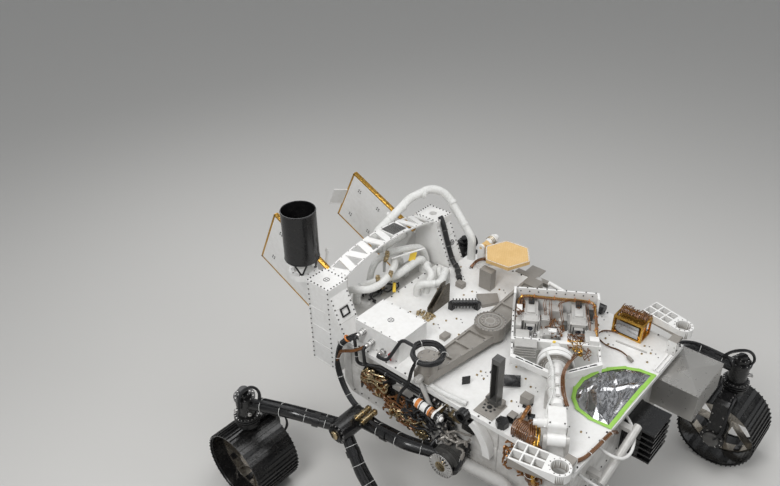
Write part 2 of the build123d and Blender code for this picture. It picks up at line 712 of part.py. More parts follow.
def truss():
    """Arched lattice between the tops of the towers, with a blank plate on it."""
    end_y = TOWER_Y - TOWER_WIDTH / 2
    foot = TOWER_TOP - TRUSS_DEPTH
    band = make_face([
        ThreePointArc((-end_y, foot), (0, foot + TRUSS_RISE), (end_y, foot)),
        Line((end_y, foot), (end_y, foot + TRUSS_DEPTH)),
        ThreePointArc((end_y, foot + TRUSS_DEPTH), (0, foot + TRUSS_RISE + TRUSS_DEPTH),
                      (-end_y, foot + TRUSS_DEPTH)),
        Line((-end_y, foot + TRUSS_DEPTH), (-end_y, foot)),
    ])
    strip = Pos(TOWER_X - TRUSS_WIDTH / 2, 0, 0) * extrude(Plane.YZ * band, TRUSS_WIDTH)
    span = end_y - 2 * TRUSS_RAIL
    pitch = 2 * span / TRUSS_BAYS
    half_width = TRUSS_WIDTH / 2 - TRUSS_RAIL
    for index in range(TRUSS_BAYS):
        left = -span + pitch * index
        flip = 1 if index % 2 == 0 else -1
        corners = (
            (TOWER_X - flip * half_width, left + TRUSS_WEB),
            (TOWER_X - flip * half_width, left + pitch - TRUSS_WEB),
            (TOWER_X + flip * half_width, left + pitch / 2),
        )
        strip -= prism(corners, foot - TRUSS_RISE, 4 * TRUSS_RISE)
    crown = foot + TRUSS_RISE * (1 - (TRUSS_PLATE_Y / end_y) ** 2) + TRUSS_DEPTH
    tilt = degrees(atan2(-2 * TRUSS_RISE * TRUSS_PLATE_Y, end_y ** 2))
    blank = Box(TRUSS_WIDTH - 2 * TRUSS_RAIL, TRUSS_PLATE_LENGTH, TRUSS_DEPTH)
    return strip + Pos(TOWER_X, TRUSS_PLATE_Y, crown - TRUSS_DEPTH / 4) * Rot(tilt, 0, 0) * blank


def rear_tray():
    """Tray behind the deck that carries the fluid pipes between the towers."""
    foot = DECK_HEIGHT - TRAY_DROP
    width = 2 * TRAY_HALF_WIDTH
    tray = slab((DECK_REAR + TRAY_REAR) / 2, 0, foot, DECK_REAR - TRAY_REAR, width, TRAY_THICKNESS)
    return tray + slab((DECK_REAR + BODY_REAR) / 2, 0, foot, BODY_REAR - DECK_REAR, width, DECK_UNDER - foot)


def antenna_can():
    """Open can of the antenna."""
    floor = 1.5 * CAN_WALL
    can = post(CAN_X, CAN_Y, CAN_FOOT, CAN_RADIUS, CAN_HEIGHT)
    return can - post(CAN_X, CAN_Y, CAN_FOOT + floor, CAN_RADIUS - CAN_WALL, CAN_HEIGHT)


def can_stand():
    """Ring bracket behind the starboard tower and the can's V struts."""
    ring_top = TOWER_TOP - TOWER_PLATE
    ring_foot = ring_top - CAN_RING_DEPTH
    stand = post(CAN_X, CAN_Y, ring_foot, CAN_RING_OUTER, CAN_RING_DEPTH)
    stand += slab((CAN_X + TOWER_REAR) / 2, CAN_Y, ring_foot, TOWER_REAR - CAN_X, 120, CAN_RING_DEPTH)
    stand -= post(CAN_X, CAN_Y, ring_foot, CAN_RING_INNER, CAN_RING_DEPTH)
    foot_circle = (CAN_RING_OUTER + CAN_RING_INNER) / 2
    spread = 26
    for turn in (50, 180, 310):
        foot = polar(foot_circle, turn)
        stand += post(CAN_X + foot[0], CAN_Y + foot[1], ring_top, 2 * CAN_STRUT, CAN_STRUT)
        for lean in (-spread, spread):
            head = polar(CAN_RADIUS - 2 * CAN_STRUT, turn + lean)
            stand += rod(
                (CAN_X + foot[0], CAN_Y + foot[1], ring_top - CAN_STRUT),
                (CAN_X + head[0], CAN_Y + head[1], CAN_FOOT + CAN_STRUT), CAN_STRUT)
    return stand - post(CAN_X, CAN_Y, CAN_FOOT, CAN_RADIUS, CAN_HEIGHT)


def deck_box():
    """Electronics box with a lid seam and the connectors on its starboard wall."""
    seam = 2.0
    corner_radius = 5.0
    box = slab(BOX_X, BOX_Y, DECK_HEIGHT, BOX_LENGTH, BOX_WIDTH, BOX_HEIGHT)
    box = fillet(box.edges().filter_by(Axis.Z), corner_radius)
    lid = DECK_HEIGHT + BOX_HEIGHT * 0.86
    band = slab(BOX_X, BOX_Y, lid, BOX_LENGTH, BOX_WIDTH, seam)
    box -= band - slab(BOX_X, BOX_Y, lid, BOX_LENGTH - 2 * seam, BOX_WIDTH - 2 * seam, seam)
    wall = BOX_Y - BOX_WIDTH / 2
    for plug in CONNECTORS:
        box += shaft(plug.x, DECK_HEIGHT + plug.rise, wall - plug.length, wall, plug.radius * 0.8)
        box += shaft(plug.x, DECK_HEIGHT + plug.rise, wall - plug.length * 0.6, wall, plug.radius)
    return box


def differential():
    """Pivot and two-armed beam across the deck, with pockets and a canister on the starboard end."""
    beam = post(PIVOT_X, 0, DECK_HEIGHT, PIVOT_CAP_RADIUS, PIVOT_TOP - DECK_HEIGHT)
    beam += post(PIVOT_X, 0, BEAM_FOOT, PIVOT_RADIUS, PIVOT_TOP - BEAM_FOOT)
    half = BEAM_WIDTH / 2
    end = LINK_Y - LINK_EYE_LENGTH / 2
    arm = (
        (PIVOT_X - BEAM_ROOT / 2, 0), (PIVOT_X + BEAM_ROOT / 2, 0), (BEAM_X + half, BEAM_END_Y),
        (BEAM_X + half, end), (BEAM_X - half, end), (BEAM_X - half, BEAM_END_Y),
    )
    port = prism(arm, BEAM_FOOT, BEAM_HEIGHT)
    rim = 16.0
    near = PIVOT_RADIUS + rim
    far = BEAM_END_Y - rim
    lean = (PIVOT_X - BEAM_X) / BEAM_END_Y
    reach = (BEAM_ROOT - BEAM_WIDTH) / (2 * BEAM_END_Y)
    depth = BEAM_HEIGHT / 4
    left = BEAM_ROOT / 2 - rim
    bays = 3
    for index in range(bays):
        low = near + (far - near) * index / bays
        high = low + (far - near) / bays - rim
        corners = (
            (PIVOT_X - lean * low - left + reach * low, low),
            (PIVOT_X - lean * low + left - reach * low, low),
            (PIVOT_X - lean * high + left - reach * high, high),
            (PIVOT_X - lean * high - left + reach * high, high),
        )
        port -= prism(corners, BEAM_FOOT + BEAM_HEIGHT - depth, depth)
    beam += port
    beam += on_side(port, -1)
    recess = PIVOT_RADIUS - PIVOT_CAP_HEIGHT
    beam -= post(PIVOT_X, 0, PIVOT_TOP - PIVOT_CAP_HEIGHT / 2, recess, PIVOT_CAP_HEIGHT)
    beam += post(PIVOT_X, 0, PIVOT_TOP - PIVOT_CAP_HEIGHT, PIVOT_CAP_RADIUS, PIVOT_CAP_HEIGHT * 1.5)
    return beam + post(BEAM_X, -BEAM_END_Y, BEAM_FOOT + BEAM_HEIGHT, CANISTER_RADIUS, CANISTER_HEIGHT)


def cable_coil():
    """Outer shape of the cable coiled on the canister."""
    foot = BEAM_FOOT + BEAM_HEIGHT + CANISTER_HEIGHT
    outer = post(BEAM_X, -BEAM_END_Y, foot, COIL_RADIUS + COIL_THICKNESS / 2, COIL_THICKNESS)
    ring = outer - post(BEAM_X, -BEAM_END_Y, foot, COIL_RADIUS - COIL_THICKNESS, COIL_THICKNESS)
    return fillet(ring.edges().filter_by(GeomType.CIRCLE), COIL_THICKNESS / 4)


def differential_link():
    """Port link from the beam's end down to the rocker's drum."""
    eye_height = BEAM_FOOT + BEAM_HEIGHT / 2
    half = LINK_EYE_LENGTH / 2
    link = shaft(BEAM_X, eye_height, LINK_Y - half, LINK_Y + half, LINK_EYE_RADIUS)
    link += rod((BEAM_X, LINK_Y, eye_height), (ROCKER_X, LINK_Y, ROCKER_Z), LINK_RADIUS)
    return link - shaft(
        ROCKER_X, ROCKER_Z, LINK_Y - 3 * half, LINK_Y + 3 * half, ROCKER_DRUM_RADIUS + RUNNING_GAP)


def foil_cover():
    """Foil over the round opening at the front of the deck."""
    outline = ((594, -145), (559, 129), (692, 308), (870, 350), (872, -216), (687, -231))
    return prism(outline, DECK_HEIGHT, 16)


def mast_frame():
    """Frame at the mast's hinge: x runs along the folded mast and z is up."""
    return Plane(origin=MAST_HINGE, x_dir=MAST_HEADING, z_dir=(0, 0, 1))


def mast_mount():
    """Fork on the deck that carries the mast's hinge."""
    drop = MAST_HINGE[2] - DECK_HEIGHT
    boss = 28.0
    fork = []
    for side in (-1, 1):
        inner = side * MAST_FORK_GAP / 2
        outer = side * (MAST_FORK_GAP / 2 + MAST_CHEEK)
        cheek = slab(0, (inner + outer) / 2, -drop, 2 * boss, MAST_CHEEK, drop)
        cheek += slab(0, (inner + outer) / 2, -drop, 4 * boss, MAST_CHEEK, MAST_CHEEK)
        cheek += rod((0, inner, 0), (0, outer, 0), boss)
        cheek -= rod((0, inner - side, 0), (0, outer + side, 0), MAST_PIN_RADIUS + RUNNING_GAP / 3)
        fork.append(mast_frame() * cheek)
    return fork


def mast_rest():
    """Saddle on the deck under the folded mast."""
    drop = MAST_HINGE[2] - DECK_HEIGHT
    place = (MAST_SLEEVES[1] + MAST_SLEEVES[2]) / 2
    saddle = slab(place, 0, -drop, 40, 110, drop + 40)
    groove = rod((place - 100, 0, MAST_RISE), (place + 100, 0, MAST_RISE), MAST_RADIUS + RUNNING_GAP)
    return mast_frame() * (saddle - groove)


def mast_tube():
    """Hinge barrel, drive housing with its side drives, tube, sleeves and drum."""
    half = MAST_FORK_GAP / 2 - RUNNING_GAP
    root = rod((0, -half, 0), (0, half, 0), MAST_HINGE_RADIUS)
    housing = slab(
        MAST_HOUSING_LENGTH / 2 + 10, 0, -MAST_HINGE_RADIUS,
        MAST_HOUSING_LENGTH - 20, 2 * half, MAST_HINGE_RADIUS + MAST_HOUSING_TOP)
    root += fillet(housing.edges().filter_by(Axis.Y).group_by(Axis.Z)[-1], 26)
    root += slab(15, 0, -MAST_HINGE_RADIUS, 30, 2 * half, MAST_HINGE_RADIUS + 20)
    pin = MAST_FORK_GAP / 2 + MAST_CHEEK
    root += rod((0, -pin, 0), (0, pin, 0), MAST_PIN_RADIUS)
    root += rod((90, half, 24), (90, half + 50, 24), 27)
    root += rod((90, half + 50, 24), (90, half + 74, 24), 18)
    root += slab(110, -half - 6, -12, 120, 12, 60)
    root += rod((MAST_HOUSING_LENGTH - 10, 0, MAST_RISE), (MAST_DRUM_AT, 0, MAST_RISE), MAST_RADIUS)
    for place in MAST_SLEEVES:
        root += rod((place - 9, 0, MAST_RISE), (place + 9, 0, MAST_RISE), MAST_RADIUS + 7)
    drum_end = MAST_DRUM_AT + MAST_DRUM_LENGTH
    root += rod((MAST_DRUM_AT, 0, MAST_RISE), (drum_end, 0, MAST_RISE), MAST_DRUM_RADIUS)
    root += rod((MAST_DRUM_AT - 8, 0, MAST_RISE), (MAST_DRUM_AT, 0, MAST_RISE), MAST_DRUM_DISC)
    return mast_frame() * root


def head_arm(side):
    """Slotted channel arm from the mast's tube to one side rail of the head."""
    inner = MAST_RADIUS + RUNNING_GAP
    outer = HEAD_HALF_WIDTH
    outline = (
        (ARM_FOOT_AT, side * inner), (ARM_FOOT_AT + ARM_BREADTH, side * inner),
        (ARM_HEAD_AT + ARM_BREADTH, side * (outer - HEAD_RAIL)),
        (ARM_HEAD_AT + ARM_BREADTH, side * outer), (ARM_HEAD_AT, side * outer),
    )
    arm = prism(outline, MAST_RISE - HEAD_RAIL_HEIGHT / 2, HEAD_RAIL_HEIGHT)
    slots = 4
    turn = side * degrees(atan2(outer - inner, ARM_HEAD_AT - ARM_FOOT_AT))
    for index in range(slots):
        share = (index + 0.9) / (slots + 0.8)
        x = ARM_FOOT_AT + ARM_BREADTH / 2 + share * (ARM_HEAD_AT - ARM_FOOT_AT)
        y = side * (inner + share * (outer - inner))
        arm -= Pos(x, y, MAST_RISE) * Rot(0, 0, turn) * Box(26, 8, 2 * HEAD_RAIL_HEIGHT)
    return arm


def mast_head():
    """Cone, arms and open frame at the mast's end."""
    cone_at = MAST_DRUM_AT + MAST_DRUM_LENGTH
    head = Plane(origin=(cone_at, 0, MAST_RISE), z_dir=(1, 0, 0)).location * Cone(
        MAST_DRUM_DISC, MAST_CONE_TIP, MAST_CONE_LENGTH, align=BASE)
    head += slab(
        HEAD_BEAM_AT, 0, HEAD_FOOT, 2 * HEAD_RAIL, 2 * HEAD_HALF_WIDTH, HEAD_RAIL_HEIGHT + MAST_CONE_TIP)
    rail_length = HEAD_END_AT - ARM_HEAD_AT
    arm_top = MAST_RISE + HEAD_RAIL_HEIGHT / 2
    for side in (-1, 1):
        head += head_arm(side)
        rail_y = side * (HEAD_HALF_WIDTH - HEAD_RAIL / 2)
        head += slab((ARM_HEAD_AT + HEAD_END_AT) / 2, rail_y, HEAD_FOOT, rail_length, HEAD_RAIL, HEAD_RAIL_HEIGHT)
        head += slab(
            ARM_HEAD_AT + ARM_BREADTH / 2, rail_y, HEAD_FOOT, ARM_BREADTH, HEAD_RAIL, arm_top - HEAD_FOOT)
        head += slab(
            HEAD_END_AT - 2 * HEAD_RAIL, rail_y, HEAD_FOOT, 4 * HEAD_RAIL, HEAD_RAIL, HEAD_END_TOP - HEAD_FOOT)
    floor_length = HEAD_END_AT - HEAD_BEAM_AT
    head += slab(
        (HEAD_BEAM_AT + HEAD_END_AT) / 2, 0, HEAD_FOOT, floor_length, 2 * HEAD_HALF_WIDTH, HEAD_FLOOR)
    head += slab(
        HEAD_END_AT + HEAD_END_THICKNESS / 2, 0, HEAD_FOOT,
        HEAD_END_THICKNESS, 2 * HEAD_HALF_WIDTH, HEAD_END_TOP - HEAD_FOOT)
    return mast_frame() * head


def camera():
    """Camera box with a sloped cap and an open hood toward the hinge, about its own foot."""
    half = CAMERA_LENGTH / 2
    slope = CAMERA_HEIGHT * 0.25
    outline = (
        (-half, 0), (half, 0), (half, CAMERA_HEIGHT),
        (-half + slope, CAMERA_HEIGHT), (-half, CAMERA_HEIGHT - slope),
    )
    box = side_prism(outline, -CAMERA_WIDTH / 2, CAMERA_WIDTH / 2)
    hood = slab(-half - HOOD_LENGTH / 2, 0, HOOD_WALL, HOOD_LENGTH, HOOD_WIDTH, HOOD_HEIGHT)
    hood -= slab(
        -half - HOOD_LENGTH / 2 - HOOD_WALL, 0, 2 * HOOD_WALL,
        HOOD_LENGTH, HOOD_WIDTH - 2 * HOOD_WALL, HOOD_HEIGHT - 2 * HOOD_WALL)
    return box + hood


def ribbed_unit():
    """Finned box beside the mast's cone."""
    length = HEAD_BEAM_AT - HEAD_RAIL - RIBBED_AT
    middle = RIBBED_AT + length / 2
    unit = slab(
        middle, RIBBED_ACROSS, HEAD_FOOT, length - 2 * HEAD_RAIL, RIBBED_WIDTH - HEAD_RAIL, RIBBED_HEIGHT)
    for index in range(RIBBED_FINS):
        rise = index * (RIBBED_HEIGHT - FIN_THICKNESS) / (RIBBED_FINS - 1)
        unit += slab(middle, RIBBED_ACROSS, HEAD_FOOT + rise, length, RIBBED_WIDTH, FIN_THICKNESS)
    return unit


def mast_cameras():
    """Camera boxes and small units on the head's floor."""
    floor = HEAD_FOOT + HEAD_FLOOR
    units = [Pos(CAMERA_AT + CAMERA_LENGTH / 2, across, floor) * camera() for across in HEAD_CAMERAS]
    for unit in HEAD_BOXES:
        units.append(slab(unit.along, unit.across, floor, unit.length, unit.width, unit.height))
    units.append(ribbed_unit())
    return [mast_frame() * unit for unit in units]


def antenna_base():
    """Pedestal, fork and side drive of the steerable antenna."""
    x, y, z = DISH_PIVOT
    foot = 90.0
    middle = DISH_EAR_GAP + DISH_EAR_THICKNESS / 2
    outer = DISH_EAR_GAP + DISH_EAR_THICKNESS
    base = post(x, y, DECK_HEIGHT, 48, foot) + slab(x, y, DECK_HEIGHT + foot, 64, 2 * outer, 14)
    base += post(x, y, DECK_HEIGHT, 62, 12)
    for side in (-1, 1):
        base += slab(x, y + side * middle, DECK_HEIGHT + foot, 52, DISH_EAR_THICKNESS, z - DECK_HEIGHT - foot)
        base += shaft(x, z, y + side * DISH_EAR_GAP, y + side * outer, 26)
    base += shaft(x, z, y + outer, y + outer + 58, 30)
    base += shaft(x, z, y + outer + 58, y + outer + 66, 36)
    base += shaft(x, z, y + outer + 66, y + outer + 96, 24)
    return base - shaft(x, z, y - outer - 1, y + outer, DISH_PIN_RADIUS + RUNNING_GAP / 3)


def antenna_dish():
    """Flat hexagonal antenna with a raised rim, on its arm."""
    x, y, z = DISH_PIVOT
    cx, cy = DISH_CENTRE
    outer = DISH_EAR_GAP + DISH_EAR_THICKNESS
    face = RegularPolygon(DISH_RADIUS, 6, rotation=DISH_TURN)
    inner_face = RegularPolygon(DISH_RADIUS - DISH_RIM, 6, rotation=DISH_TURN)
    dish = Pos(cx, cy, DISH_BACK) * extrude(face, DISH_THICKNESS)
    dish -= Pos(cx, cy, DISH_BACK + DISH_THICKNESS - DISH_RECESS) * extrude(inner_face, DISH_RECESS)
    dish += slab((x + cx) / 2, y, z - 6, cx - x, 34, DISH_BACK - z + 6)
    dish += shaft(x, z, y - DISH_EAR_GAP + RUNNING_GAP, y + DISH_EAR_GAP - RUNNING_GAP, 22)
    return dish + shaft(x, z, y - outer, y + outer - 1, DISH_PIN_RADIUS)


def hose_loop():
    """Insulated hose from the port exchanger plate over the port tower to the deck."""
    low = DECK_HEIGHT + 190
    top = TOWER_TOP + 130
    return bent_tube(
        [(-1115, PLATE_Y, low), (-1115, 60, low), (-1110, 70, TOWER_TOP), (-1100, 420, top),
         (-1040, 700, top + 30), (-715, 665, DECK_HEIGHT + 170), (-715, 665, DECK_HEIGHT)],
        30, [60, 60, 150, 150, 80])


def fluid_pipes():
    """Insulated pipes on the tray and the rear of the deck, and the wrap along the deck's edge."""
    tray = DECK_HEIGHT - TRAY_DROP + TRAY_THICKNESS
    run = DECK_HEIGHT + 95
    first = bent_tube(
        [(-1010, -250, tray), (-1010, -250, run), (-905, 60, run - 5), (-900, 330, run + 5), (-900, 330, tray)],
        28, [60, 90, 50])
    second = bent_tube(
        [(-680, 320, DECK_HEIGHT), (-680, 320, run + 10), (-600, 150, run + 5), (-730, 60, run - 5),
         (-730, 60, DECK_HEIGHT)],
        26, [50, 60, 50])
    third = bent_tube(
        [(-1000, -120, tray), (-1000, -120, run - 62), (-985, 60, run - 66), (-985, 60, tray)], 20, [30, 30])
    wrap = 15.0
    edge = DECK_HEIGHT + wrap + RUNNING_GAP
    side = -BODY_HALF_WIDTH
    fourth = bent_tube([(-175, side - 13, edge), (10, side - 17, edge), (165, side + 1, edge)], wrap, [400])
    return [first, second, third, fourth]


def fluid_valve():
    """Round valve between the pipes on the tray."""
    tray = DECK_HEIGHT - TRAY_DROP + TRAY_THICKNESS
    valve = post(-1020, 200, tray, 24, 90)
    valve += post(-1020, 200, tray + 90, 36, 22)
    valve += post(-1020, 200, tray + 112, 26, 10)
    return valve + slab(-970, 200, tray, 60, 40, 44)


def front_bracket():
    """Port bracket at the deck's front corner: pocketed casting, ring, post and shelf."""
    foot = BRACKET_TOP - BRACKET_DEPTH
    ring_outer = BRACKET_RING_RADIUS + BRACKET_RING_WALL
    rear_half = BRACKET_REAR_WIDTH / 2
    outline = ((0, -ring_outer), (0, ring_outer), (-BRACKET_LENGTH, rear_half), (-BRACKET_LENGTH, -rear_half))
    wedge = prism(outline, 0, BRACKET_DEPTH)
    wall = 8.0
    columns = 3
    start = ring_outer + wall
    pitch = (BRACKET_LENGTH - start) / columns
    for column in range(columns):
        x = -start - pitch * (column + 0.5)
        width = rear_half - 1.5 * wall - (BRACKET_LENGTH + x) * (rear_half - ring_outer) / BRACKET_LENGTH
        for side in (-1, 1):
            wedge -= slab(
                x, side * (width / 2 + wall / 2), BRACKET_FLOOR, pitch - wall, width - wall / 2, BRACKET_DEPTH)
    casting = Pos(BRACKET_X, BRACKET_Y, foot) * Rot(0, 0, BRACKET_TOE) * wedge
    casting += post(BRACKET_X, BRACKET_Y, foot, ring_outer, BRACKET_DEPTH)
    post_y = DECK_SIDE - BRACKET_POST_THICKNESS / 2 - 4
    shelf_end = BRACKET_Y - BRACKET_RING_RADIUS
    shelf_start = post_y - BRACKET_POST_THICKNESS / 2
    shelf_y = (shelf_start + shelf_end) / 2
    casting += slab(
        BRACKET_X, post_y, DECK_HEIGHT, BRACKET_POST_WIDTH, BRACKET_POST_THICKNESS, foot - DECK_HEIGHT)
    casting += slab(BRACKET_X, shelf_y, foot, BRACKET_POST_WIDTH, shelf_end - shelf_start, BRACKET_SHELF)
    return casting - post(BRACKET_X, BRACKET_Y, DECK_HEIGHT, BRACKET_RING_RADIUS, BRACKET_TOP)


def crease_box():
    """Sheet metal box in front of the port corner of the deck, creased to a low peak."""
    top = DECK_HEIGHT - CREASE_DROP
    x = BODY_FRONT + CREASE_LENGTH / 2
    outline = Pos(x, CREASE_Y, top) * Rectangle(CREASE_LENGTH, CREASE_WIDTH)
    peak = Pos(x, CREASE_Y, top + CREASE_RISE) * Rectangle(CREASE_RISE, CREASE_RISE)
    box = slab(x, CREASE_Y, top - CREASE_HEIGHT, CREASE_LENGTH, CREASE_WIDTH, CREASE_HEIGHT)
    return box + loft([outline, peak])


def front_rack():
    """Slatted box on the front wall, and the tube that runs across the nose."""
    foot = BELLY_HEIGHT + BODY_NOSE_SLOPE
    slats = 6
    height = 230.0
    width = 240.0
    depth = 190.0
    y = 150.0
    back = 12.0
    rack = slab(BODY_FRONT + back / 2, y, foot, back, width, height)
    for index in range(slats):
        rise = index * (height - back) / (slats - 1)
        rack += slab(BODY_FRONT + depth / 2, y, foot + rise, depth, width - back, back)
    for side in (-1, 1):
        rack += slab(BODY_FRONT + depth * 0.3, y + side * (width / 2 - back), foot, depth * 0.6, back / 2, height)
    tube_x = BODY_FRONT + 95
    tube = rod((tube_x, -400, foot + 150), (tube_x, 10, foot + 270), 24)
    for end_y, rise in ((-360, 150), (-30, 247)):
        tube += slab((BODY_FRONT + tube_x) / 2, end_y, foot + rise, tube_x - BODY_FRONT, 40, 28)
    return [rack, tube]


def gold_unit():
    """Open-framed instrument on the port front of the deck."""
    x, y = 570.0, 628.0
    length, width, height = 200.0, 130.0, 130.0
    bar = 12.0
    unit = slab(x, y, DECK_HEIGHT, length, width, height)
    unit -= slab(x, y, DECK_HEIGHT + bar, length - 2 * bar, width + bar, height - 2 * bar)
    unit -= slab(x, y, DECK_HEIGHT + bar, length + bar, width - 2 * bar, height - 2 * bar)
    unit -= slab(x, y, DECK_HEIGHT + bar, length - 2 * bar, width - 2 * bar, height)
    return unit + slab(x, y, DECK_HEIGHT + bar / 2, length - 3 * bar, width - 3 * bar, height - 2 * bar)


def side_panel():
    """Pocketed panel on the port wall, above the rocker's rear arm."""
    thick = 24.0
    wall = BODY_HALF_WIDTH
    high = DECK_HEIGHT - 120
    low = DECK_HEIGHT - 280
    panel = side_prism(((-420, low), (-60, low), (-60, high), (-300, high), (-420, high - 60)), wall, wall + thick)
    return panel - slab(-230, wall + thick, low + 20, 240, thick, 50)


def arch_cover():
    """Port arched guard from under the deck's edge down toward the rocker's pivot."""
    centre_z = DECK_UNDER - 228
    inner = 205.0
    outer = 255.0
    width = 52.0
    near, middle, far = 2, 32, 61

    def place(radius, turn):
        """Point of the arch seen from the side."""
        along, rise = polar(radius, turn)
        return (ROCKER_X + along, centre_z + rise)

    outline = make_face([
        ThreePointArc(place(inner, near), place(inner, middle), place(inner, far)),
        Line(place(inner, far), place(outer, far)),
        ThreePointArc(place(outer, far), place(outer, middle), place(outer, near)),
        Line(place(outer, near), place(inner, near)),
    ])
    return Pos(0, BODY_HALF_WIDTH, 0) * extrude(Plane.XZ * outline, width, dir=(0, 1, 0))


def banded_cylinder():
    """Banded cylinder on a saddle on the starboard wall, outboard of the link."""
    y = -(LINK_Y + LINK_RADIUS + 36)
    start, end = (-110, y, DECK_HEIGHT - 57), (66, y, DECK_HEIGHT - 78)
    unit = rod(start, end, 28)
    unit += rod((start[0] - 16, y, start[2] + 2), (end[0] + 16, y, end[2] - 2), 15)
    wall = -BODY_HALF_WIDTH
    return unit + slab(SADDLE_X, (wall + y) / 2, DECK_HEIGHT - 90, SADDLE_THICKNESS, wall - y, 40)


def connector_block():
    """Block on the starboard wall where the first cable ends."""
    y = -BODY_HALF_WIDTH - BLOCK_DEPTH / 2
    return slab(BLOCK_X, y, BLOCK_FOOT, BLOCK_LENGTH, BLOCK_DEPTH, BLOCK_HEIGHT)


def ribbed_cylinder():
    """Ribbed damper lying on two feet across the rear of the deck."""
    start = Vector(-452, 86, DECK_HEIGHT + 46)
    end = Vector(-322, 196, DECK_HEIGHT + 46)
    run = end - start
    unit = rod(tuple(start), tuple(end), 22)
    for index in range(RIBS):
        middle = start + run * ((index + 0.5) / RIBS)
        half = run.normalized() * 3.5
        unit += rod(tuple(middle - half), tuple(middle + half), 34)
    for end_point in (start, end):
        unit += slab(end_point.X, end_point.Y, DECK_HEIGHT, 34, 34, 56)
    return unit


def gusset():
    """Two-plate wedge bracket on the rear of the deck."""
    foot = DECK_HEIGHT
    outline = ((-40, foot), (144, foot), (144, foot + 150), (104, foot + 150), (-40, foot + 30))
    width, plate_wall = 46.0, 9.0
    wedge = extrude(Plane.YZ * make_face(Polyline(*outline, close=True)), width)
    wedge -= slab(width / 2, 40, foot + 16, width - 2 * plate_wall, 400, 200)
    return Pos(-560, 0, 0) * wedge


def post_unit():
    """Open-faced post with a flared foot on its pedestal plate."""
    foot = DECK_HEIGHT + PEDESTAL_THICKNESS
    unit = slab(PEDESTAL_X, PEDESTAL_Y, DECK_HEIGHT, PEDESTAL_LENGTH, PEDESTAL_WIDTH, PEDESTAL_THICKNESS)
    unit += slab(POST_X, POST_Y, foot, POST_SIZE + POST_FLARE, POST_SIZE - 8, POST_FLARE_HEIGHT)
    unit += slab(POST_X, POST_Y, foot, POST_SIZE, POST_SIZE, POST_HEIGHT)
    return unit - slab(
        POST_X, POST_Y - POST_WALL, foot + POST_FLARE_HEIGHT,
        POST_SIZE - 2 * POST_WALL, POST_SIZE, POST_HEIGHT - 2 * POST_FLARE_HEIGHT)


def round_guide():
    """Round cable guide on the starboard edge of the deck."""
    outer = -DECK_SIDE - GUIDE_LENGTH
    guide = shaft(GUIDE_X, GUIDE_Z, outer, -DECK_SIDE, GUIDE_RADIUS)
    return guide - shaft(GUIDE_X, GUIDE_Z, outer, -DECK_SIDE - GUIDE_FLOOR, GUIDE_RADIUS * 0.55)


def port_edge_bracket():
    """Beam, square plate and tube on the port edge of the deck."""
    beam = slab(-235, DECK_WING + 22, DECK_HEIGHT - 24, 270, 44, 30)
    beam += slab(-258, DECK_WING + 80, DECK_HEIGHT - 2, 110, 120, 8)
    return beam + rod((-110, DECK_WING + 30, DECK_HEIGHT + 2), (14, DECK_WING + 18, DECK_HEIGHT - 6), 15)


def port_cylinder():
    """Round unit on its foot by the port edge of the deck."""
    unit = rod((262, 690, DECK_HEIGHT + 38), (352, 690, DECK_HEIGHT + 38), 30)
    return unit + slab(307, 690, DECK_HEIGHT, 60, 34, 24)


def deck_units():
    """Units that stand on the deck."""
    units = [slab(unit.x, unit.y, DECK_HEIGHT, unit.dx, unit.dy, unit.height) for unit in DECK_UNITS]
    units.append(Pos(405, -570, DECK_HEIGHT) * extrude(RegularPolygon(38, 6, rotation=20), 40))
    units.append(prism(((-405, 300), (-300, 225), (-235, 330), (-300, 400)), DECK_HEIGHT, 26))
    units += [post_unit(), gusset(), ribbed_cylinder(), round_guide(), port_edge_bracket(), port_cylinder()]
    return units


def cables():
    """Black cables from the electronics box to the starboard wall and the coil."""
    box_wall = BOX_Y - BOX_WIDTH / 2
    lane = -DECK_SIDE - 42
    wall_lane = -BODY_HALF_WIDTH - BLOCK_DEPTH / 2
    first, second, third = [
        (plug.x, box_wall - plug.length - RUNNING_GAP, DECK_HEIGHT + plug.rise) for plug in CONNECTORS]
    low = BLOCK_FOOT + BLOCK_HEIGHT / 2 + 12
    high = low + 2 * CABLE_RADIUS + 6
    to_block = bent_tube(
        [first, (first[0], lane, first[2]), (first[0] + 12, lane, low + 20),
         (first[0] + 90, wall_lane, low), (BLOCK_X - BLOCK_LENGTH / 2 - RUNNING_GAP, wall_lane, low)],
        CABLE_RADIUS, [20, 40, 60])
    to_saddle = bent_tube(
        [second, (second[0], lane, second[2]), (second[0] + 10, lane, high + 20),
         (second[0] + 80, wall_lane, high), (SADDLE_X - SADDLE_THICKNESS / 2 - RUNNING_GAP, wall_lane, high)],
        CABLE_RADIUS, [20, 30, 50])
    coil_z = BEAM_FOOT + BEAM_HEIGHT + CANISTER_HEIGHT + COIL_THICKNESS / 2
    coil_edge = BEAM_X - COIL_RADIUS - COIL_THICKNESS / 2 - RUNNING_GAP
    to_coil = bent_tube(
        [third, (third[0], third[1] - 42, third[2]), (third[0] + 90, third[1] - 52, third[2] + 20),
         (coil_edge - 90, -BEAM_END_Y, coil_z), (coil_edge, -BEAM_END_Y, coil_z)],
        CABLE_RADIUS, [18, 50, 40])
    return [to_block, to_saddle, to_coil]


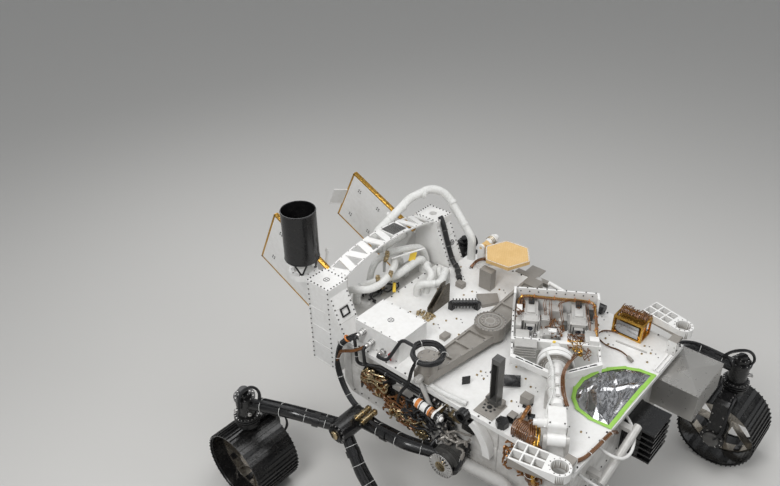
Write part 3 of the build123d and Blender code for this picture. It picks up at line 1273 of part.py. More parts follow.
def front_harness():
    """Two wire bundles from the front units over the starboard edge to the wall."""
    edge = -DECK_SIDE - 32
    wall = -BODY_HALF_WIDTH - RUNNING_GAP
    over_edge = bent_tube(
        [(545, -480, DECK_HEIGHT), (545, -480, DECK_HEIGHT + 62), (600, -540, DECK_HEIGHT + 66),
         (640, edge, DECK_HEIGHT + 40), (655, edge, DECK_HEIGHT - 240), (655, wall, DECK_HEIGHT - 240)],
        HARNESS_RADIUS, [30, 30, 40, 30])
    on_deck = bent_tube(
        [(500, -560, DECK_HEIGHT), (500, -560, DECK_HEIGHT + 66), (470, -400, DECK_HEIGHT + 70),
         (470, -400, DECK_HEIGHT)],
        HARNESS_RADIUS, [25, 25])
    return [over_edge, on_deck]


plate = exchanger_plate()
save("body_box", body_box())
save("deck", deck())
save("rear_towers", tower(True), on_side(tower(False), -1))
save("exchanger_plate_left", plate)
save("exchanger_plate_right", on_side(plate, -1))

for corner in CORNERS:
    axis = Pos(corner.x, corner.side * CORNER_TRACK / 2, 0)
    centre = Pos(0, 0, WHEEL_RADIUS)
    save(f"wheel_barrel_{corner.name}", axis * centre * wheel_barrel())
    save(f"wheel_centre_{corner.name}", axis * centre * on_side(wheel_centre(), corner.side))
    bracket = knuckle() + hub_motor()
    save(f"knuckle_{corner.name}", axis * centre * on_side(bracket, corner.side))

for corner in MIDDLES:
    axis = Pos(corner.x, corner.side * MIDDLE_TRACK / 2, WHEEL_RADIUS)
    save(f"wheel_barrel_{corner.name}", axis * wheel_barrel())
    save(f"wheel_centre_{corner.name}", axis * on_side(wheel_centre(), corner.side))

save("middle_drives", *[
    Pos(0, corner.side * MIDDLE_TRACK / 2, WHEEL_RADIUS) * on_side(hub_motor(), corner.side)
    for corner in MIDDLES])
save("steering_drives", *[
    Pos(corner.x, corner.side * CORNER_TRACK / 2, 0) * steering_drive() for corner in CORNERS])
save("rocker_left", rocker(False))
save("rocker_right", on_side(rocker(True), -1))
save("bogie_left", bogie())
save("bogie_right", on_side(bogie(), -1))
save("twin_cylinders", on_side(twin_valves(), -1))
save("rear_truss", truss())
save("rear_tray", rear_tray())
save("plate_stays", plate_stay(), on_side(plate_stay(), -1))
save("antenna_can", antenna_can())
save("antenna_can_stand", can_stand())
save("deck_box", deck_box())
save("differential_beam", differential())
save("differential_links", differential_link(), on_side(differential_link(), -1))
save("cable_coil", cable_coil())
save("foil_cover", foil_cover())
save("mast_mount", *mast_mount())
save("mast_rest", mast_rest())
save("mast_tube", mast_tube())
save("mast_head", mast_head())
save("mast_cameras", *mast_cameras())
save("antenna_base", antenna_base())
save("antenna_dish", antenna_dish())
save("hose_loop", hose_loop())
save("fluid_pipes", *fluid_pipes(), fluid_valve())
save("front_brackets", front_bracket(), on_side(front_bracket(), -1))
save("crease_box", crease_box())
save("front_rack", *front_rack())
save("gold_unit", gold_unit())
save("side_panels", side_panel(), on_side(side_panel(), -1), arch_cover(), on_side(arch_cover(), -1))
save("side_units", banded_cylinder(), connector_block())
save("deck_units", *deck_units())
save("cables", *cables())
save("front_harness", *front_harness())
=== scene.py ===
"""Dresses a six-wheeled planetary rover: its finishes, wiring, foil, fasteners, floor and camera."""

import json
import logging
import math
import random
from dataclasses import dataclass, field
from enum import Enum
from typing import Iterable, Sequence

import bpy
from mathutils import Matrix, Vector, noise

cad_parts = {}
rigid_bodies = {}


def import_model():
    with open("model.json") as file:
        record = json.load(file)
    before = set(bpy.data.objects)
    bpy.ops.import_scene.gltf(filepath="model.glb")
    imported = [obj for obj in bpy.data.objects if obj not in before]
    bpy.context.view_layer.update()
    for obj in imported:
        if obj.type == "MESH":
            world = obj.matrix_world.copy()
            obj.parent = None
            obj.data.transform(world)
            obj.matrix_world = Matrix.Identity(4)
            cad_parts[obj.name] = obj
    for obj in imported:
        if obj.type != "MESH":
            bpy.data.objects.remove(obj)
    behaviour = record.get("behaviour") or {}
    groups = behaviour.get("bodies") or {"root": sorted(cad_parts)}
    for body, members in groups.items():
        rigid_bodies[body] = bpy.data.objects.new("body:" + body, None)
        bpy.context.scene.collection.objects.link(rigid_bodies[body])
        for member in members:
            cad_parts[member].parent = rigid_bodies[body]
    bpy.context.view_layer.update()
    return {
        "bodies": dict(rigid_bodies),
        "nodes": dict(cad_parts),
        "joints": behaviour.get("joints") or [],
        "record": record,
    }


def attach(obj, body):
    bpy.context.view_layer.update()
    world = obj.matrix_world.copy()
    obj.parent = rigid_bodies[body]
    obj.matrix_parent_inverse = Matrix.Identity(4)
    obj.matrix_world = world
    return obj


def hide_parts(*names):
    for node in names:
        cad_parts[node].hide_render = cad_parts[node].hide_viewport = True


LOG = logging.getLogger("rover")

# Places are in millimetres from the point on the floor midway between the front and rear axles;
# the model's own origin lies this far behind that point.
ORIGIN_SHIFT = 203.5
DECK_HEIGHT = 1100.0
HALF_WIDTH = 575.0
WHEEL_RADIUS = 263.0
CORNERS = {
    "front_left": (1140.0, 1176.0), "front_right": (1140.0, -1176.0),
    "rear_left": (-1140.0, 1176.0), "rear_right": (-1140.0, -1176.0),
}
MIDDLES = {"middle_left": (0.0, 1250.0), "middle_right": (0.0, -1250.0)}
STEER_FOOT = 603.0

# Least roughness that a finish may have
SMOOTHEST = 0.04
# Edges sharper than this many degrees are bevelled, by this many metres unless a piece says otherwise
SHARP_EDGE = 50.0
FINE_BEVEL = 0.0003
# Points of a cable's mesh that lie closer than this many metres are welded
WELD = 0.00002

UP = Vector((0, 0, 1))
PORT = Vector((0, 1, 0))
AHEAD = Vector((1, 0, 0))

Triple = tuple[float, float, float]
Values = dict[str | int, object]


def mm(x: float, y: float, z: float) -> Vector:
    """Point in the model's own frame, in metres.

    Args:
        x: Millimetres forward of the axles' midpoint.
        y: Millimetres to port.
        z: Millimetres over the floor.

    Returns:
        The point as a vector.
    """
    return Vector(((x + ORIGIN_SHIFT) / 1000, y / 1000, z / 1000))


class Pattern(Enum):
    """Relief and figure that a finish carries."""

    PLAIN = "grain"
    BRUSHED = "brushing"
    WEAVE = "weave"
    CRINKLE = "crinkle"
    HEXAGONS = "hexagons"


class Graph:
    """A shader tree whose nodes are added with their values and links in one call."""

    def __init__(self, tree: bpy.types.NodeTree) -> None:
        """Keeps the tree.

        Args:
            tree: The tree that takes the nodes.
        """
        self.tree = tree

    def add(self, kind: str, values: Values | None = None, **settings: object) -> bpy.types.Node:
        """Adds a node.

        Args:
            kind: Type of the node, without its leading ShaderNode.
            values: What its inputs take: plain values, or outputs of other nodes.
            **settings: Options of the node, which are set first.

        Returns:
            The new node.
        """
        node = self.tree.nodes.new(f"ShaderNode{kind}")
        for option, choice in settings.items():
            setattr(node, option, choice)
        self.feed(node, values or {})
        return node

    def feed(self, node: bpy.types.Node, values: Values) -> None:
        """Gives a node's inputs their plain values and links.

        Args:
            node: The node.
            values: What its inputs take.
        """
        for socket, value in values.items():
            if isinstance(value, bpy.types.NodeSocket):
                self.tree.links.new(value, node.inputs[socket])
            else:
                node.inputs[socket].default_value = value


class NodeGroups:
    """Shader node groups that the finishes share, each built once."""

    def __init__(self) -> None:
        """Builds every group."""
        self.mottling = self._mottling()
        self.scuffs = self._scuffs()
        self.reliefs = {
            Pattern.PLAIN: self._grain(),
            Pattern.BRUSHED: self._brushing(),
            Pattern.WEAVE: self._weave(),
            Pattern.CRINKLE: self._crinkle(),
            Pattern.HEXAGONS: self._hexagons(),
        }

    @staticmethod
    def _new(name: str, inputs: Sequence[tuple[str, str, object]],
             outputs: Sequence[tuple[str, str]]) -> tuple[Graph, bpy.types.Node, bpy.types.Node]:
        """Starts a group with its sockets.

        Args:
            name: The group's name.
            inputs: Name, socket type and default of each input.
            outputs: Name and socket type of each output.

        Returns:
            The graph, its input node and its output node.
        """
        tree = bpy.data.node_groups.new(name, "ShaderNodeTree")
        for label, kind, default in inputs:
            socket = tree.interface.new_socket(label, in_out="INPUT", socket_type=f"NodeSocket{kind}")
            if default is not None:
                socket.default_value = default
        for label, kind in outputs:
            tree.interface.new_socket(label, in_out="OUTPUT", socket_type=f"NodeSocket{kind}")
        return Graph(tree), tree.nodes.new("NodeGroupInput"), tree.nodes.new("NodeGroupOutput")

    def _wear(self, name: str, other: str) -> tuple[Graph, bpy.types.Node, bpy.types.Node]:
        """Starts a group that mixes a second colour into the first."""
        return self._new(
            name,
            [("Vector", "Vector", None), ("Colour", "Color", (1, 1, 1, 1)), (other, "Color", (0, 0, 0, 1)),
             ("Amount", "Float", 0.3), ("Scale", "Float", 5.0)],
            [("Colour", "Color"), ("Mask", "Float")])

    def _relief(self, name: str) -> tuple[Graph, bpy.types.Node, bpy.types.Node]:
        """Starts a relief group: a vector and a scale in, a height and a mask out."""
        return self._new(
            name, [("Vector", "Vector", None), ("Scale", "Float", 100.0)],
            [("Height", "Float"), ("Mask", "Float")])

    @staticmethod
    def _mixed(graph: Graph, given: bpy.types.Node, made: bpy.types.Node, spots: bpy.types.NodeSocket,
               other: str) -> bpy.types.NodeSocket:
        """Mixes the second colour in where the spots are.

        Args:
            graph: The group's graph.
            given: Its input node.
            made: Its output node.
            spots: Where the second colour shows.
            other: Name of the second colour's input.

        Returns:
            The share of the second colour.
        """
        share = graph.add("Math", {0: spots, 1: given.outputs["Amount"]}, operation="MULTIPLY").outputs[0]
        mix = graph.add(
            "Mix", {"Factor": share, "A": given.outputs["Colour"], "B": given.outputs[other]},
            data_type="RGBA")
        graph.feed(made, {"Colour": mix.outputs["Result"]})
        return share

    def _mottling(self) -> bpy.types.NodeTree:
        """Slow drift of one colour towards another, at two scales."""
        graph, given, made = self._wear("mottling", "Tint")
        place, scale = given.outputs["Vector"], given.outputs["Scale"]
        broad = graph.add("TexNoise", {"Vector": place, "Scale": scale, "Detail": 6.0, "Roughness": 0.62})
        finer = graph.add("Math", {0: scale, 1: 9.0}, operation="MULTIPLY")
        fine = graph.add("TexNoise", {"Vector": place, "Scale": finer.outputs[0], "Detail": 4.0})
        product = graph.add(
            "Math", {0: broad.outputs["Fac"], 1: fine.outputs["Fac"]}, operation="MULTIPLY")
        spread = graph.add(
            "MapRange", {"Value": product.outputs[0], "From Min": 0.16, "From Max": 0.42}).outputs["Result"]
        self._mixed(graph, given, made, spread, "Tint")
        graph.feed(made, {"Mask": spread})
        return graph.tree

    def _scuffs(self) -> bpy.types.NodeTree:
        """Small rubbed and chipped spots of another colour."""
        graph, given, made = self._wear("scuffs", "Scuff")
        spots = graph.add("TexNoise", {
            "Vector": given.outputs["Vector"], "Scale": given.outputs["Scale"], "Detail": 3.0,
            "Distortion": 0.8})
        sharp = graph.add("MapRange", {"Value": spots.outputs["Fac"], "From Min": 0.66, "From Max": 0.74})
        share = self._mixed(graph, given, made, sharp.outputs["Result"], "Scuff")
        graph.feed(made, {"Mask": share})
        return graph.tree

    def _grain(self) -> bpy.types.NodeTree:
        """Orange peel of sprayed paint."""
        graph, given, made = self._relief("grain")
        peel = graph.add("TexNoise", {
            "Vector": given.outputs["Vector"], "Scale": given.outputs["Scale"],
            "Detail": 3.0}).outputs["Fac"]
        graph.feed(made, {"Height": peel, "Mask": peel})
        return graph.tree

    def _brushing(self) -> bpy.types.NodeTree:
        """Fine parallel marks of a brushed or machined face."""
        graph, given, made = self._relief("brushing")
        stretch = graph.add("Mapping", {"Vector": given.outputs["Vector"], "Scale": (1.0, 14.0, 14.0)})
        marks = graph.add("TexNoise", {
            "Vector": stretch.outputs["Vector"], "Scale": given.outputs["Scale"],
            "Detail": 2.0}).outputs["Fac"]
        graph.feed(made, {"Height": marks, "Mask": marks})
        return graph.tree

    def _weave(self) -> bpy.types.NodeTree:
        """Over and under of woven tape, with soft wrinkles."""
        graph, given, made = self._relief("weave")
        place = given.outputs["Vector"]
        waves = [
            graph.add("TexWave", {"Vector": place, "Scale": given.outputs["Scale"], "Distortion": 1.2},
                      bands_direction=direction).outputs["Fac"]
            for direction in ("X", "Z")]
        crossing = graph.add("Math", {0: waves[0], 1: waves[1]}, operation="MAXIMUM")
        wrinkles = graph.add("TexNoise", {
            "Vector": place, "Scale": 26.0, "Detail": 3.0, "Distortion": 1.0}).outputs["Fac"]
        both = graph.add("Math", {0: wrinkles, 1: 6.0, 2: crossing.outputs[0]}, operation="MULTIPLY_ADD")
        graph.feed(made, {"Height": both.outputs[0], "Mask": wrinkles})
        return graph.tree

    def _crinkle(self) -> bpy.types.NodeTree:
        """Sharp small folds of metal film."""
        graph, given, made = self._relief("crinkle")
        place = given.outputs["Vector"]
        warp = graph.add("TexNoise", {"Scale": 7.0, "Vector": place})
        bend = graph.add(
            "VectorMath", {0: warp.outputs["Color"], 1: (0.12, 0.12, 0.12), 2: place},
            operation="MULTIPLY_ADD")
        folds = graph.add(
            "TexVoronoi", {"Vector": bend.outputs["Vector"], "Scale": given.outputs["Scale"]}, feature="F1")
        graph.feed(made, {"Height": folds.outputs["Distance"], "Mask": folds.outputs["Distance"]})
        return graph.tree

    def _hexagons(self) -> bpy.types.NodeTree:
        """Faint honeycomb under a flat face: square cells leant over by thirty degrees."""
        graph, given, made = self._relief("hexagons")
        split = graph.add("SeparateXYZ", {"Vector": given.outputs["Vector"]})
        slope, stretch = math.tan(math.radians(30)), 1 / math.cos(math.radians(30))
        lean = graph.add(
            "Math", {0: split.outputs["Y"], 1: slope, 2: split.outputs["X"]}, operation="MULTIPLY_ADD")
        rise = graph.add("Math", {0: split.outputs["Y"], 1: stretch}, operation="MULTIPLY")
        merge = graph.add("CombineXYZ", {"X": lean.outputs[0], "Y": rise.outputs[0]})
        cells = graph.add(
            "TexVoronoi", voronoi_dimensions="2D", feature="DISTANCE_TO_EDGE",
            values={"Vector": merge.outputs["Vector"], "Scale": given.outputs["Scale"], "Randomness": 0.12})
        wall = graph.add("MapRange",
            {"Value": cells.outputs["Distance"], "From Max": 0.16}).outputs["Result"]
        graph.feed(made, {"Height": wall, "Mask": wall})
        return graph.tree


@dataclass(frozen=True)
class Finish:
    """A surface finish: its colours, gloss, relief and wear.

    Colours are linear. mottle and scuff are shares from 0 to 1, and the relief is in metres. The slot names
    the record's material slot meant for this finish; the script gives no piece this slot.
    """

    name: str
    colour: Triple
    tint: Triple
    roughness: float = 0.4
    uneven: float = 0.12
    metallic: float = 0.0
    mottle: float = 0.35
    mottle_scale: float = 4.0
    scuff_colour: Triple = (0.35, 0.33, 0.3)
    scuff: float = 0.15
    scuff_scale: float = 55.0
    pattern: Pattern = Pattern.PLAIN
    relief_scale: float = 320.0
    relief: float = 0.0004
    relief_strength: float = 0.25
    figure: float = 0.0
    figure_colour: Triple = (0.2, 0.15, 0.1)
    coat: float = 0.0
    slot: str = "white_paint"

    def build(self, groups: NodeGroups) -> bpy.types.Material:
        """Makes the material.

        Args:
            groups: The shared node groups.

        Returns:
            The material, ready for a slot.
        """
        material = bpy.data.materials.new(self.name)
        material.use_nodes = True
        graph = Graph(material.node_tree)
        place = graph.add("TexCoord").outputs["Object"]
        mottling = graph.add("Group", {
            "Vector": place, "Scale": self.mottle_scale, "Colour": (*self.colour, 1),
            "Tint": (*self.tint, 1),
            "Amount": self.mottle}, node_tree=groups.mottling)
        scuffs = graph.add("Group", {
            "Vector": place, "Scale": self.scuff_scale, "Colour": mottling.outputs["Colour"],
            "Scuff": (*self.scuff_colour, 1), "Amount": self.scuff}, node_tree=groups.scuffs)
        relief = graph.add(
            "Group", {"Vector": place, "Scale": self.relief_scale}, node_tree=groups.reliefs[self.pattern])
        colour = scuffs.outputs["Colour"]
        if self.figure:
            share = graph.add("Math", {0: relief.outputs["Mask"], 1: self.figure}, operation="MULTIPLY")
            figured = graph.add(
                "Mix", {"Factor": share.outputs[0], "A": colour, "B": (*self.figure_colour, 1)},
                data_type="RGBA")
            colour = figured.outputs["Result"]
        gloss = graph.add("MapRange", {
            "Value": mottling.outputs["Mask"], "To Min": max(SMOOTHEST, self.roughness - self.uneven),
            "To Max": min(1.0, self.roughness + self.uneven)})
        bump = graph.add("Bump", {
            "Strength": self.relief_strength, "Distance": self.relief, "Height": relief.outputs["Height"]})
        graph.feed(material.node_tree.nodes["Principled BSDF"], {
            "Base Color": colour, "Roughness": gloss.outputs["Result"], "Normal": bump.outputs["Normal"],
            "Metallic": self.metallic, "Coat Weight": self.coat})
        return material


WHITE = Finish(
    "white_paint", (0.77, 0.765, 0.75), (0.56, 0.54, 0.5), 0.4, mottle=0.3, coat=0.15)
WALL_WHITE = Finish(
    "wall_white", (0.6, 0.59, 0.57), (0.34, 0.32, 0.29), 0.4, mottle=0.65, mottle_scale=3.0, scuff=0.3)
BLACK = Finish(
    "black_anodised", (0.006, 0.006, 0.0065), (0.016, 0.015, 0.014), 0.28, mottle=0.5,
    scuff_colour=(0.12, 0.115, 0.11), scuff=0.25, scuff_scale=80.0, slot="black_anodised")
BARREL = Finish(
    "black_barrel", (0.006, 0.006, 0.0065), (0.022, 0.021, 0.019), 0.26, mottle=0.6, mottle_scale=7.0,
    scuff_colour=(0.14, 0.135, 0.13), scuff=0.35, scuff_scale=95.0)
TAUPE = Finish(
    "bare_grey", (0.27, 0.25, 0.225), (0.36, 0.34, 0.31), 0.46, metallic=0.35, mottle=0.5,
    pattern=Pattern.BRUSHED, relief_scale=60.0, relief_strength=0.2, scuff_colour=(0.45, 0.43, 0.4),
    slot="bare_grey")
BARE = Finish(
    "bare_plate", (0.5, 0.49, 0.47), (0.36, 0.35, 0.33), 0.38, uneven=0.06, metallic=0.3, mottle=0.6,
    mottle_scale=5.0, pattern=Pattern.BRUSHED, relief_scale=70.0, relief_strength=0.12, scuff=0.0,
    slot="bare_grey")
PALE_METAL = Finish(
    "pale_metal", (0.52, 0.51, 0.49), (0.38, 0.37, 0.35), 0.4, uneven=0.06, metallic=0.25, mottle=0.45,
    scuff=0.0, slot="bare_grey")
BRONZE = Finish(
    "dark_bronze", (0.075, 0.062, 0.045), (0.17, 0.15, 0.12), 0.36, metallic=0.5, mottle=0.6,
    mottle_scale=9.0, scuff=0.1)
DARK = Finish(
    "dark_grey", (0.09, 0.088, 0.084), (0.17, 0.165, 0.155), 0.4, metallic=0.3, mottle=0.6,
    scuff_colour=(0.4, 0.39, 0.37), scuff=0.3, slot="dark_grey")
SPRING = Finish(
    "spring_metal", (0.42, 0.38, 0.32), (0.2, 0.18, 0.16), 0.33, metallic=0.9, mottle=0.55,
    pattern=Pattern.BRUSHED, relief_scale=80.0)
FOIL = Finish(
    "foil", (0.44, 0.44, 0.45), (0.3, 0.3, 0.31), 0.22, uneven=0.06, metallic=1.0, mottle=0.5,
    pattern=Pattern.CRINKLE, relief_scale=18.0, relief=0.004, relief_strength=0.07, scuff=0.0, slot="foil")
SHEET = Finish(
    "sheet_metal", (0.4, 0.39, 0.37), (0.33, 0.32, 0.3), 0.3, uneven=0.03, metallic=0.7, mottle=0.3,
    mottle_scale=2.5, scuff=0.0)
WRAP = Finish(
    "wrap", (0.72, 0.72, 0.7), (0.5, 0.49, 0.46), 0.62, mottle=0.5, mottle_scale=9.0,
    pattern=Pattern.WEAVE, relief_scale=120.0, relief=0.0012, relief_strength=0.5, scuff=0.05, slot="wrap")
TAN = Finish(
    "tan_face", (0.66, 0.43, 0.17), (0.78, 0.56, 0.28), 0.5, mottle=0.8, mottle_scale=14.0,
    pattern=Pattern.HEXAGONS, relief_scale=58.0, relief=0.0006, figure=0.3, figure_colour=(0.5, 0.3, 0.1),
    scuff_colour=(0.5, 0.33, 0.13), scuff=0.3)
JACKET = Finish(
    "black_jacket", (0.008, 0.008, 0.009), (0.02, 0.0195, 0.019), 0.42, mottle=0.5, pattern=Pattern.WEAVE,
    relief_scale=230.0, relief=0.0006, relief_strength=0.4, scuff=0.1, slot="black_jacket")
BRASS = Finish(
    "brass_tone", (0.5, 0.4, 0.24), (0.28, 0.21, 0.12), 0.3, metallic=0.95, mottle=0.6, mottle_scale=12.0,
    scuff_colour=(0.15, 0.1, 0.05), scuff=0.3, slot="brass_tone")
FILM = Finish(
    "gold_film", (0.62, 0.36, 0.07), (0.3, 0.14, 0.02), 0.2, metallic=0.9, mottle=0.7, mottle_scale=24.0,
    pattern=Pattern.CRINKLE, relief_scale=70.0, relief=0.0025, relief_strength=0.5, scuff=0.0,
    slot="brass_tone")
COPPER_WIRE = Finish(
    "copper_wire", (0.2, 0.082, 0.024), (0.06, 0.024, 0.01), 0.3, metallic=0.35, mottle=0.8,
    mottle_scale=30.0, pattern=Pattern.WEAVE, relief_scale=260.0, relief=0.0006, scuff=0.0, coat=0.4,
    slot="brass_tone")
BROWN_FILM = Finish(
    "brown_film", (0.32, 0.13, 0.025), (0.1, 0.035, 0.008), 0.17, metallic=0.6, mottle=0.85,
    mottle_scale=26.0, pattern=Pattern.CRINKLE, relief_scale=75.0, relief=0.004, relief_strength=0.7,
    scuff=0.0, coat=0.7, slot="brass_tone")
STEEL = Finish(
    "steel", (0.5, 0.49, 0.48), (0.3, 0.29, 0.28), 0.27, metallic=1.0, mottle=0.4, scuff=0.1,
    slot="spring_metal")
SCREW = Finish(
    "dark_screw", (0.05, 0.048, 0.045), (0.14, 0.13, 0.12), 0.35, metallic=0.7, mottle=0.6,
    slot="dark_grey")
GREEN = Finish(
    "green_tape", (0.3, 0.56, 0.09), (0.22, 0.44, 0.06), 0.42, mottle=0.5, scuff=0.0, slot="foil")
ORANGE = Finish(
    "orange_band", (0.6, 0.2, 0.035), (0.42, 0.11, 0.02), 0.45, scuff=0.0, slot="brass_tone")
YELLOW = Finish(
    "yellow_tag", (0.72, 0.5, 0.05), (0.6, 0.38, 0.04), 0.45, scuff=0.1, slot="brass_tone")
RED = Finish(
    "red_cap", (0.4, 0.025, 0.02), (0.25, 0.015, 0.012), 0.4, scuff=0.1, slot="brass_tone")
TIE = Finish(
    "white_tie", (0.66, 0.66, 0.64), (0.5, 0.5, 0.48), 0.4, scuff=0.0)
MARK = Finish(
    "black_mark", (0.01, 0.01, 0.01), (0.03, 0.03, 0.03), 0.5, scuff=0.0, slot="black_jacket")
LENS = Finish(
    "lens", (0.008, 0.01, 0.02), (0.012, 0.01, 0.03), 0.06, uneven=0.02, scuff=0.0, coat=1.0,
    slot="dark_grey")
FINISHES = (
    WHITE, WALL_WHITE, BLACK, BARREL, TAUPE, BARE, PALE_METAL, BRONZE, DARK, SPRING, FOIL, SHEET, WRAP, TAN,
    JACKET, BRASS, FILM, COPPER_WIRE, BROWN_FILM, STEEL, SCREW, GREEN, ORANGE, YELLOW, RED, TIE, MARK, LENS)

# What each CAD node is finished in, by the start of its name. The rear tray's bare grey is painted shade
# over what is white deck.
NODE_FINISHES = (
    ("wheel_barrel", BARREL), ("wheel_centre", SPRING), ("knuckle", BLACK), ("rocker", BLACK),
    ("bogie", BLACK), ("steering_drives", BLACK), ("middle_drives", BLACK), ("antenna_can", BLACK),
    ("front_rack", BLACK), ("differential_beam", TAUPE), ("differential_links", BARE),
    ("crease_box", SHEET), ("mast_mount", PALE_METAL), ("mast_rest", PALE_METAL), ("side_panels", BARE),
    ("foil_cover", FOIL), ("hose_loop", WRAP), ("fluid_pipes", WRAP), ("antenna_dish", TAN),
    ("gold_unit", FILM), ("twin_cylinders", BRASS), ("side_units", BRASS), ("front_harness", BROWN_FILM),
    # rear_tray: bare grey in place of the white deck, as painted shade under the pipes
    ("rear_tray", BARE), ("mast_cameras", BARE), ("deck_units", TAUPE), ("cable", JACKET),
    ("body_box", WALL_WHITE), ("antenna_base", WHITE), ("", WHITE),
)

# Forms inside a node with a finish of their own, and the front brackets' pocket floors painted darker as
# shade: node, lower and upper corner in millimetres, finish
REGION_FINISHES = (
    ("front_rack", (800, -450, 800), (1100, 28, 1080), PALE_METAL),
    ("rocker_right", (192, -1300, 500), (1300, -500, 900), PALE_METAL),
    ("rocker_right", (20, -760, 580), (215, -570, 850), DARK),
    ("rocker_left", (20, 570, 580), (215, 760, 850), DARK),
    # front_brackets: the pocket floors take bare grey as painted shade in the pockets
    ("front_brackets", (500, -900, 1181), (900, 900, 1205), TAUPE),
    ("antenna_can_stand", (-1400, -700, 1384), (-1000, -400, 1432), WHITE),
    ("side_panels", (0, -700, 800), (500, 700, 1100), WHITE),
    ("side_units", (-160, -760, 990), (120, -640, 1090), WHITE),
    ("deck_units", (240, -500, 1106), (320, -410, 1500), DARK),
    ("deck_units", (180, -560, 1090), (420, -330, 1106), WHITE),
    ("deck_units", (-575, -50, 1090), (-500, 160, 1300), BRONZE),
    ("deck_units", (-500, 40, 1090), (-280, 240, 1220), BLACK),
    ("deck_units", (140, -700, 1030), (230, -600, 1130), BLACK),
    ("deck_units", (360, -620, 1090), (450, -520, 1160), BLACK),
    ("deck_units", (-125, 730, 1070), (40, 800, 1130), WHITE),
    ("deck_units", (240, 640, 1090), (380, 740, 1180), BLACK),
)


class Bench:
    """Modelling by hand: primitives added in place, shaped in edit mode and finished."""

    def __init__(self, materials: dict[str, bpy.types.Material]) -> None:
        """Keeps the materials by name.

        Args:
            materials: Every finish's material.
        """
        self.materials = materials

    @staticmethod
    def clear() -> None:
        """Deselects everything in object mode."""
        if bpy.context.mode != "OBJECT":
            bpy.ops.object.mode_set(mode="OBJECT")
        bpy.ops.object.select_all(action="DESELECT")

    @classmethod
    def pick(cls, piece: bpy.types.Object) -> None:
        """Makes one piece the only selected and active one."""
        cls.clear()
        piece.select_set(True)
        bpy.context.view_layer.objects.active = piece

    @classmethod
    def apply(cls, piece: bpy.types.Object) -> bpy.types.Object:
        """Puts a piece's place and size into its mesh."""
        cls.pick(piece)
        bpy.ops.object.transform_apply(location=True, rotation=True, scale=True)
        return piece

    @classmethod
    def round_edges(cls, piece: bpy.types.Object, width: float, segments: int = 2) -> bpy.types.Object:
        """Bevels the sharp edges of a piece whose scale is applied.

        Args:
            piece: The piece.
            width: Width of the bevel in metres.
            segments: Steps across the bevel.

        Returns:
            The same piece.
        """
        cls.pick(piece)
        bpy.ops.object.mode_set(mode="EDIT")
        bpy.ops.mesh.select_mode(type="EDGE")
        bpy.ops.mesh.select_all(action="DESELECT")
        bpy.ops.mesh.edges_select_sharp(sharpness=math.radians(SHARP_EDGE))
        bpy.ops.mesh.bevel(offset=width, segments=segments, affect="EDGES")
        bpy.ops.object.mode_set(mode="OBJECT")
        return piece

    @classmethod
    def drum(cls, start: Vector, end: Vector, radius: float, sides: int = 20,
             bevel: float = FINE_BEVEL) -> bpy.types.Object:
        """Round bar between two points, with rounded ends.

        Args:
            start: Centre of the first end.
            end: Centre of the second end.
            radius: Radius in metres.
            sides: Sides of the round.
            bevel: Width of the bevel on its ends.

        Returns:
            The new piece.
        """
        cls.clear()
        run = end - start
        bpy.ops.mesh.primitive_cylinder_add(
            vertices=sides, radius=radius, depth=run.length, location=(start + end) / 2,
            rotation=run.to_track_quat("Z", "X").to_euler())
        return cls.round_edges(cls.apply(bpy.context.object), bevel)

    @classmethod
    def block(cls, centre: Vector, size: Triple, turn: Matrix | None = None,
              bevel: float = FINE_BEVEL) -> bpy.types.Object:
        """Box about a centre, with rounded edges.

        Args:
            centre: The box's centre.
            size: Its length, width and height in metres.
            turn: Its rotation, where it isn't upright.
            bevel: Width of the bevel on its edges.

        Returns:
            The new piece.
        """
        cls.clear()
        bpy.ops.mesh.primitive_cube_add(size=1)
        piece = bpy.context.object
        piece.scale = size
        cls.apply(piece)
        cls.round_edges(piece, bevel)
        piece.matrix_world = Matrix.Translation(centre) @ (turn.to_4x4() if turn else Matrix.Identity(4))
        return cls.apply(piece)

    @classmethod
    def ring(cls, centre: Vector, normal: Vector, radius: float, thickness: float, segments: int = 24,
             around: int = 8) -> bpy.types.Object:
        """Round ring about a centre.

        Args:
            centre: The ring's centre.
            normal: Direction of its axis.
            radius: Radius of its middle line in metres.
            thickness: Radius of its section in metres.
            segments: Steps round the ring.
            around: Steps round its section.

        Returns:
            The new piece.
        """
        cls.clear()
        bpy.ops.mesh.primitive_torus_add(
            major_radius=radius, minor_radius=thickness, major_segments=segments, minor_segments=around,
            location=centre, rotation=normal.to_track_quat("Z", "X").to_euler())
        return cls.apply(bpy.context.object)

    @classmethod
    def cables(cls, routes: Iterable[Sequence[Vector]], radius: float, sides: int = 1) -> bpy.types.Object:
        """Smooth round cables that follow given points.

        Args:
            routes: Control points of each cable's line.
            radius: Radius in metres.
            sides: Bevel resolution of the round.

        Returns:
            The cables as one closed mesh.
        """
        cls.clear()
        curve = bpy.data.curves.new("cable", "CURVE")
        curve.dimensions = "3D"
        for route in routes:
            spline = curve.splines.new("NURBS")
            spline.points.add(len(route) - 1)
            for control, point in zip(spline.points, route):
                control.co = (*point, 1)
            spline.order_u = 3
            spline.use_endpoint_u = True
            spline.resolution_u = 6
        curve.bevel_depth = radius
        curve.bevel_resolution = sides
        curve.use_fill_caps = True
        piece = bpy.data.objects.new("cable", curve)
        bpy.context.scene.collection.objects.link(piece)
        cls.pick(piece)
        bpy.ops.object.convert(target="MESH")
        piece = bpy.context.object
        bpy.ops.object.mode_set(mode="EDIT")
        bpy.ops.mesh.select_all(action="SELECT")
        bpy.ops.mesh.remove_doubles(threshold=WELD)
        bpy.ops.mesh.normals_make_consistent(inside=False)
        bpy.ops.object.mode_set(mode="OBJECT")
        return piece

    @classmethod
    def cable(cls, route: Sequence[Vector], radius: float, sides: int = 2) -> bpy.types.Object:
        """One smooth round cable along given points."""
        return cls.cables([route], radius, sides)

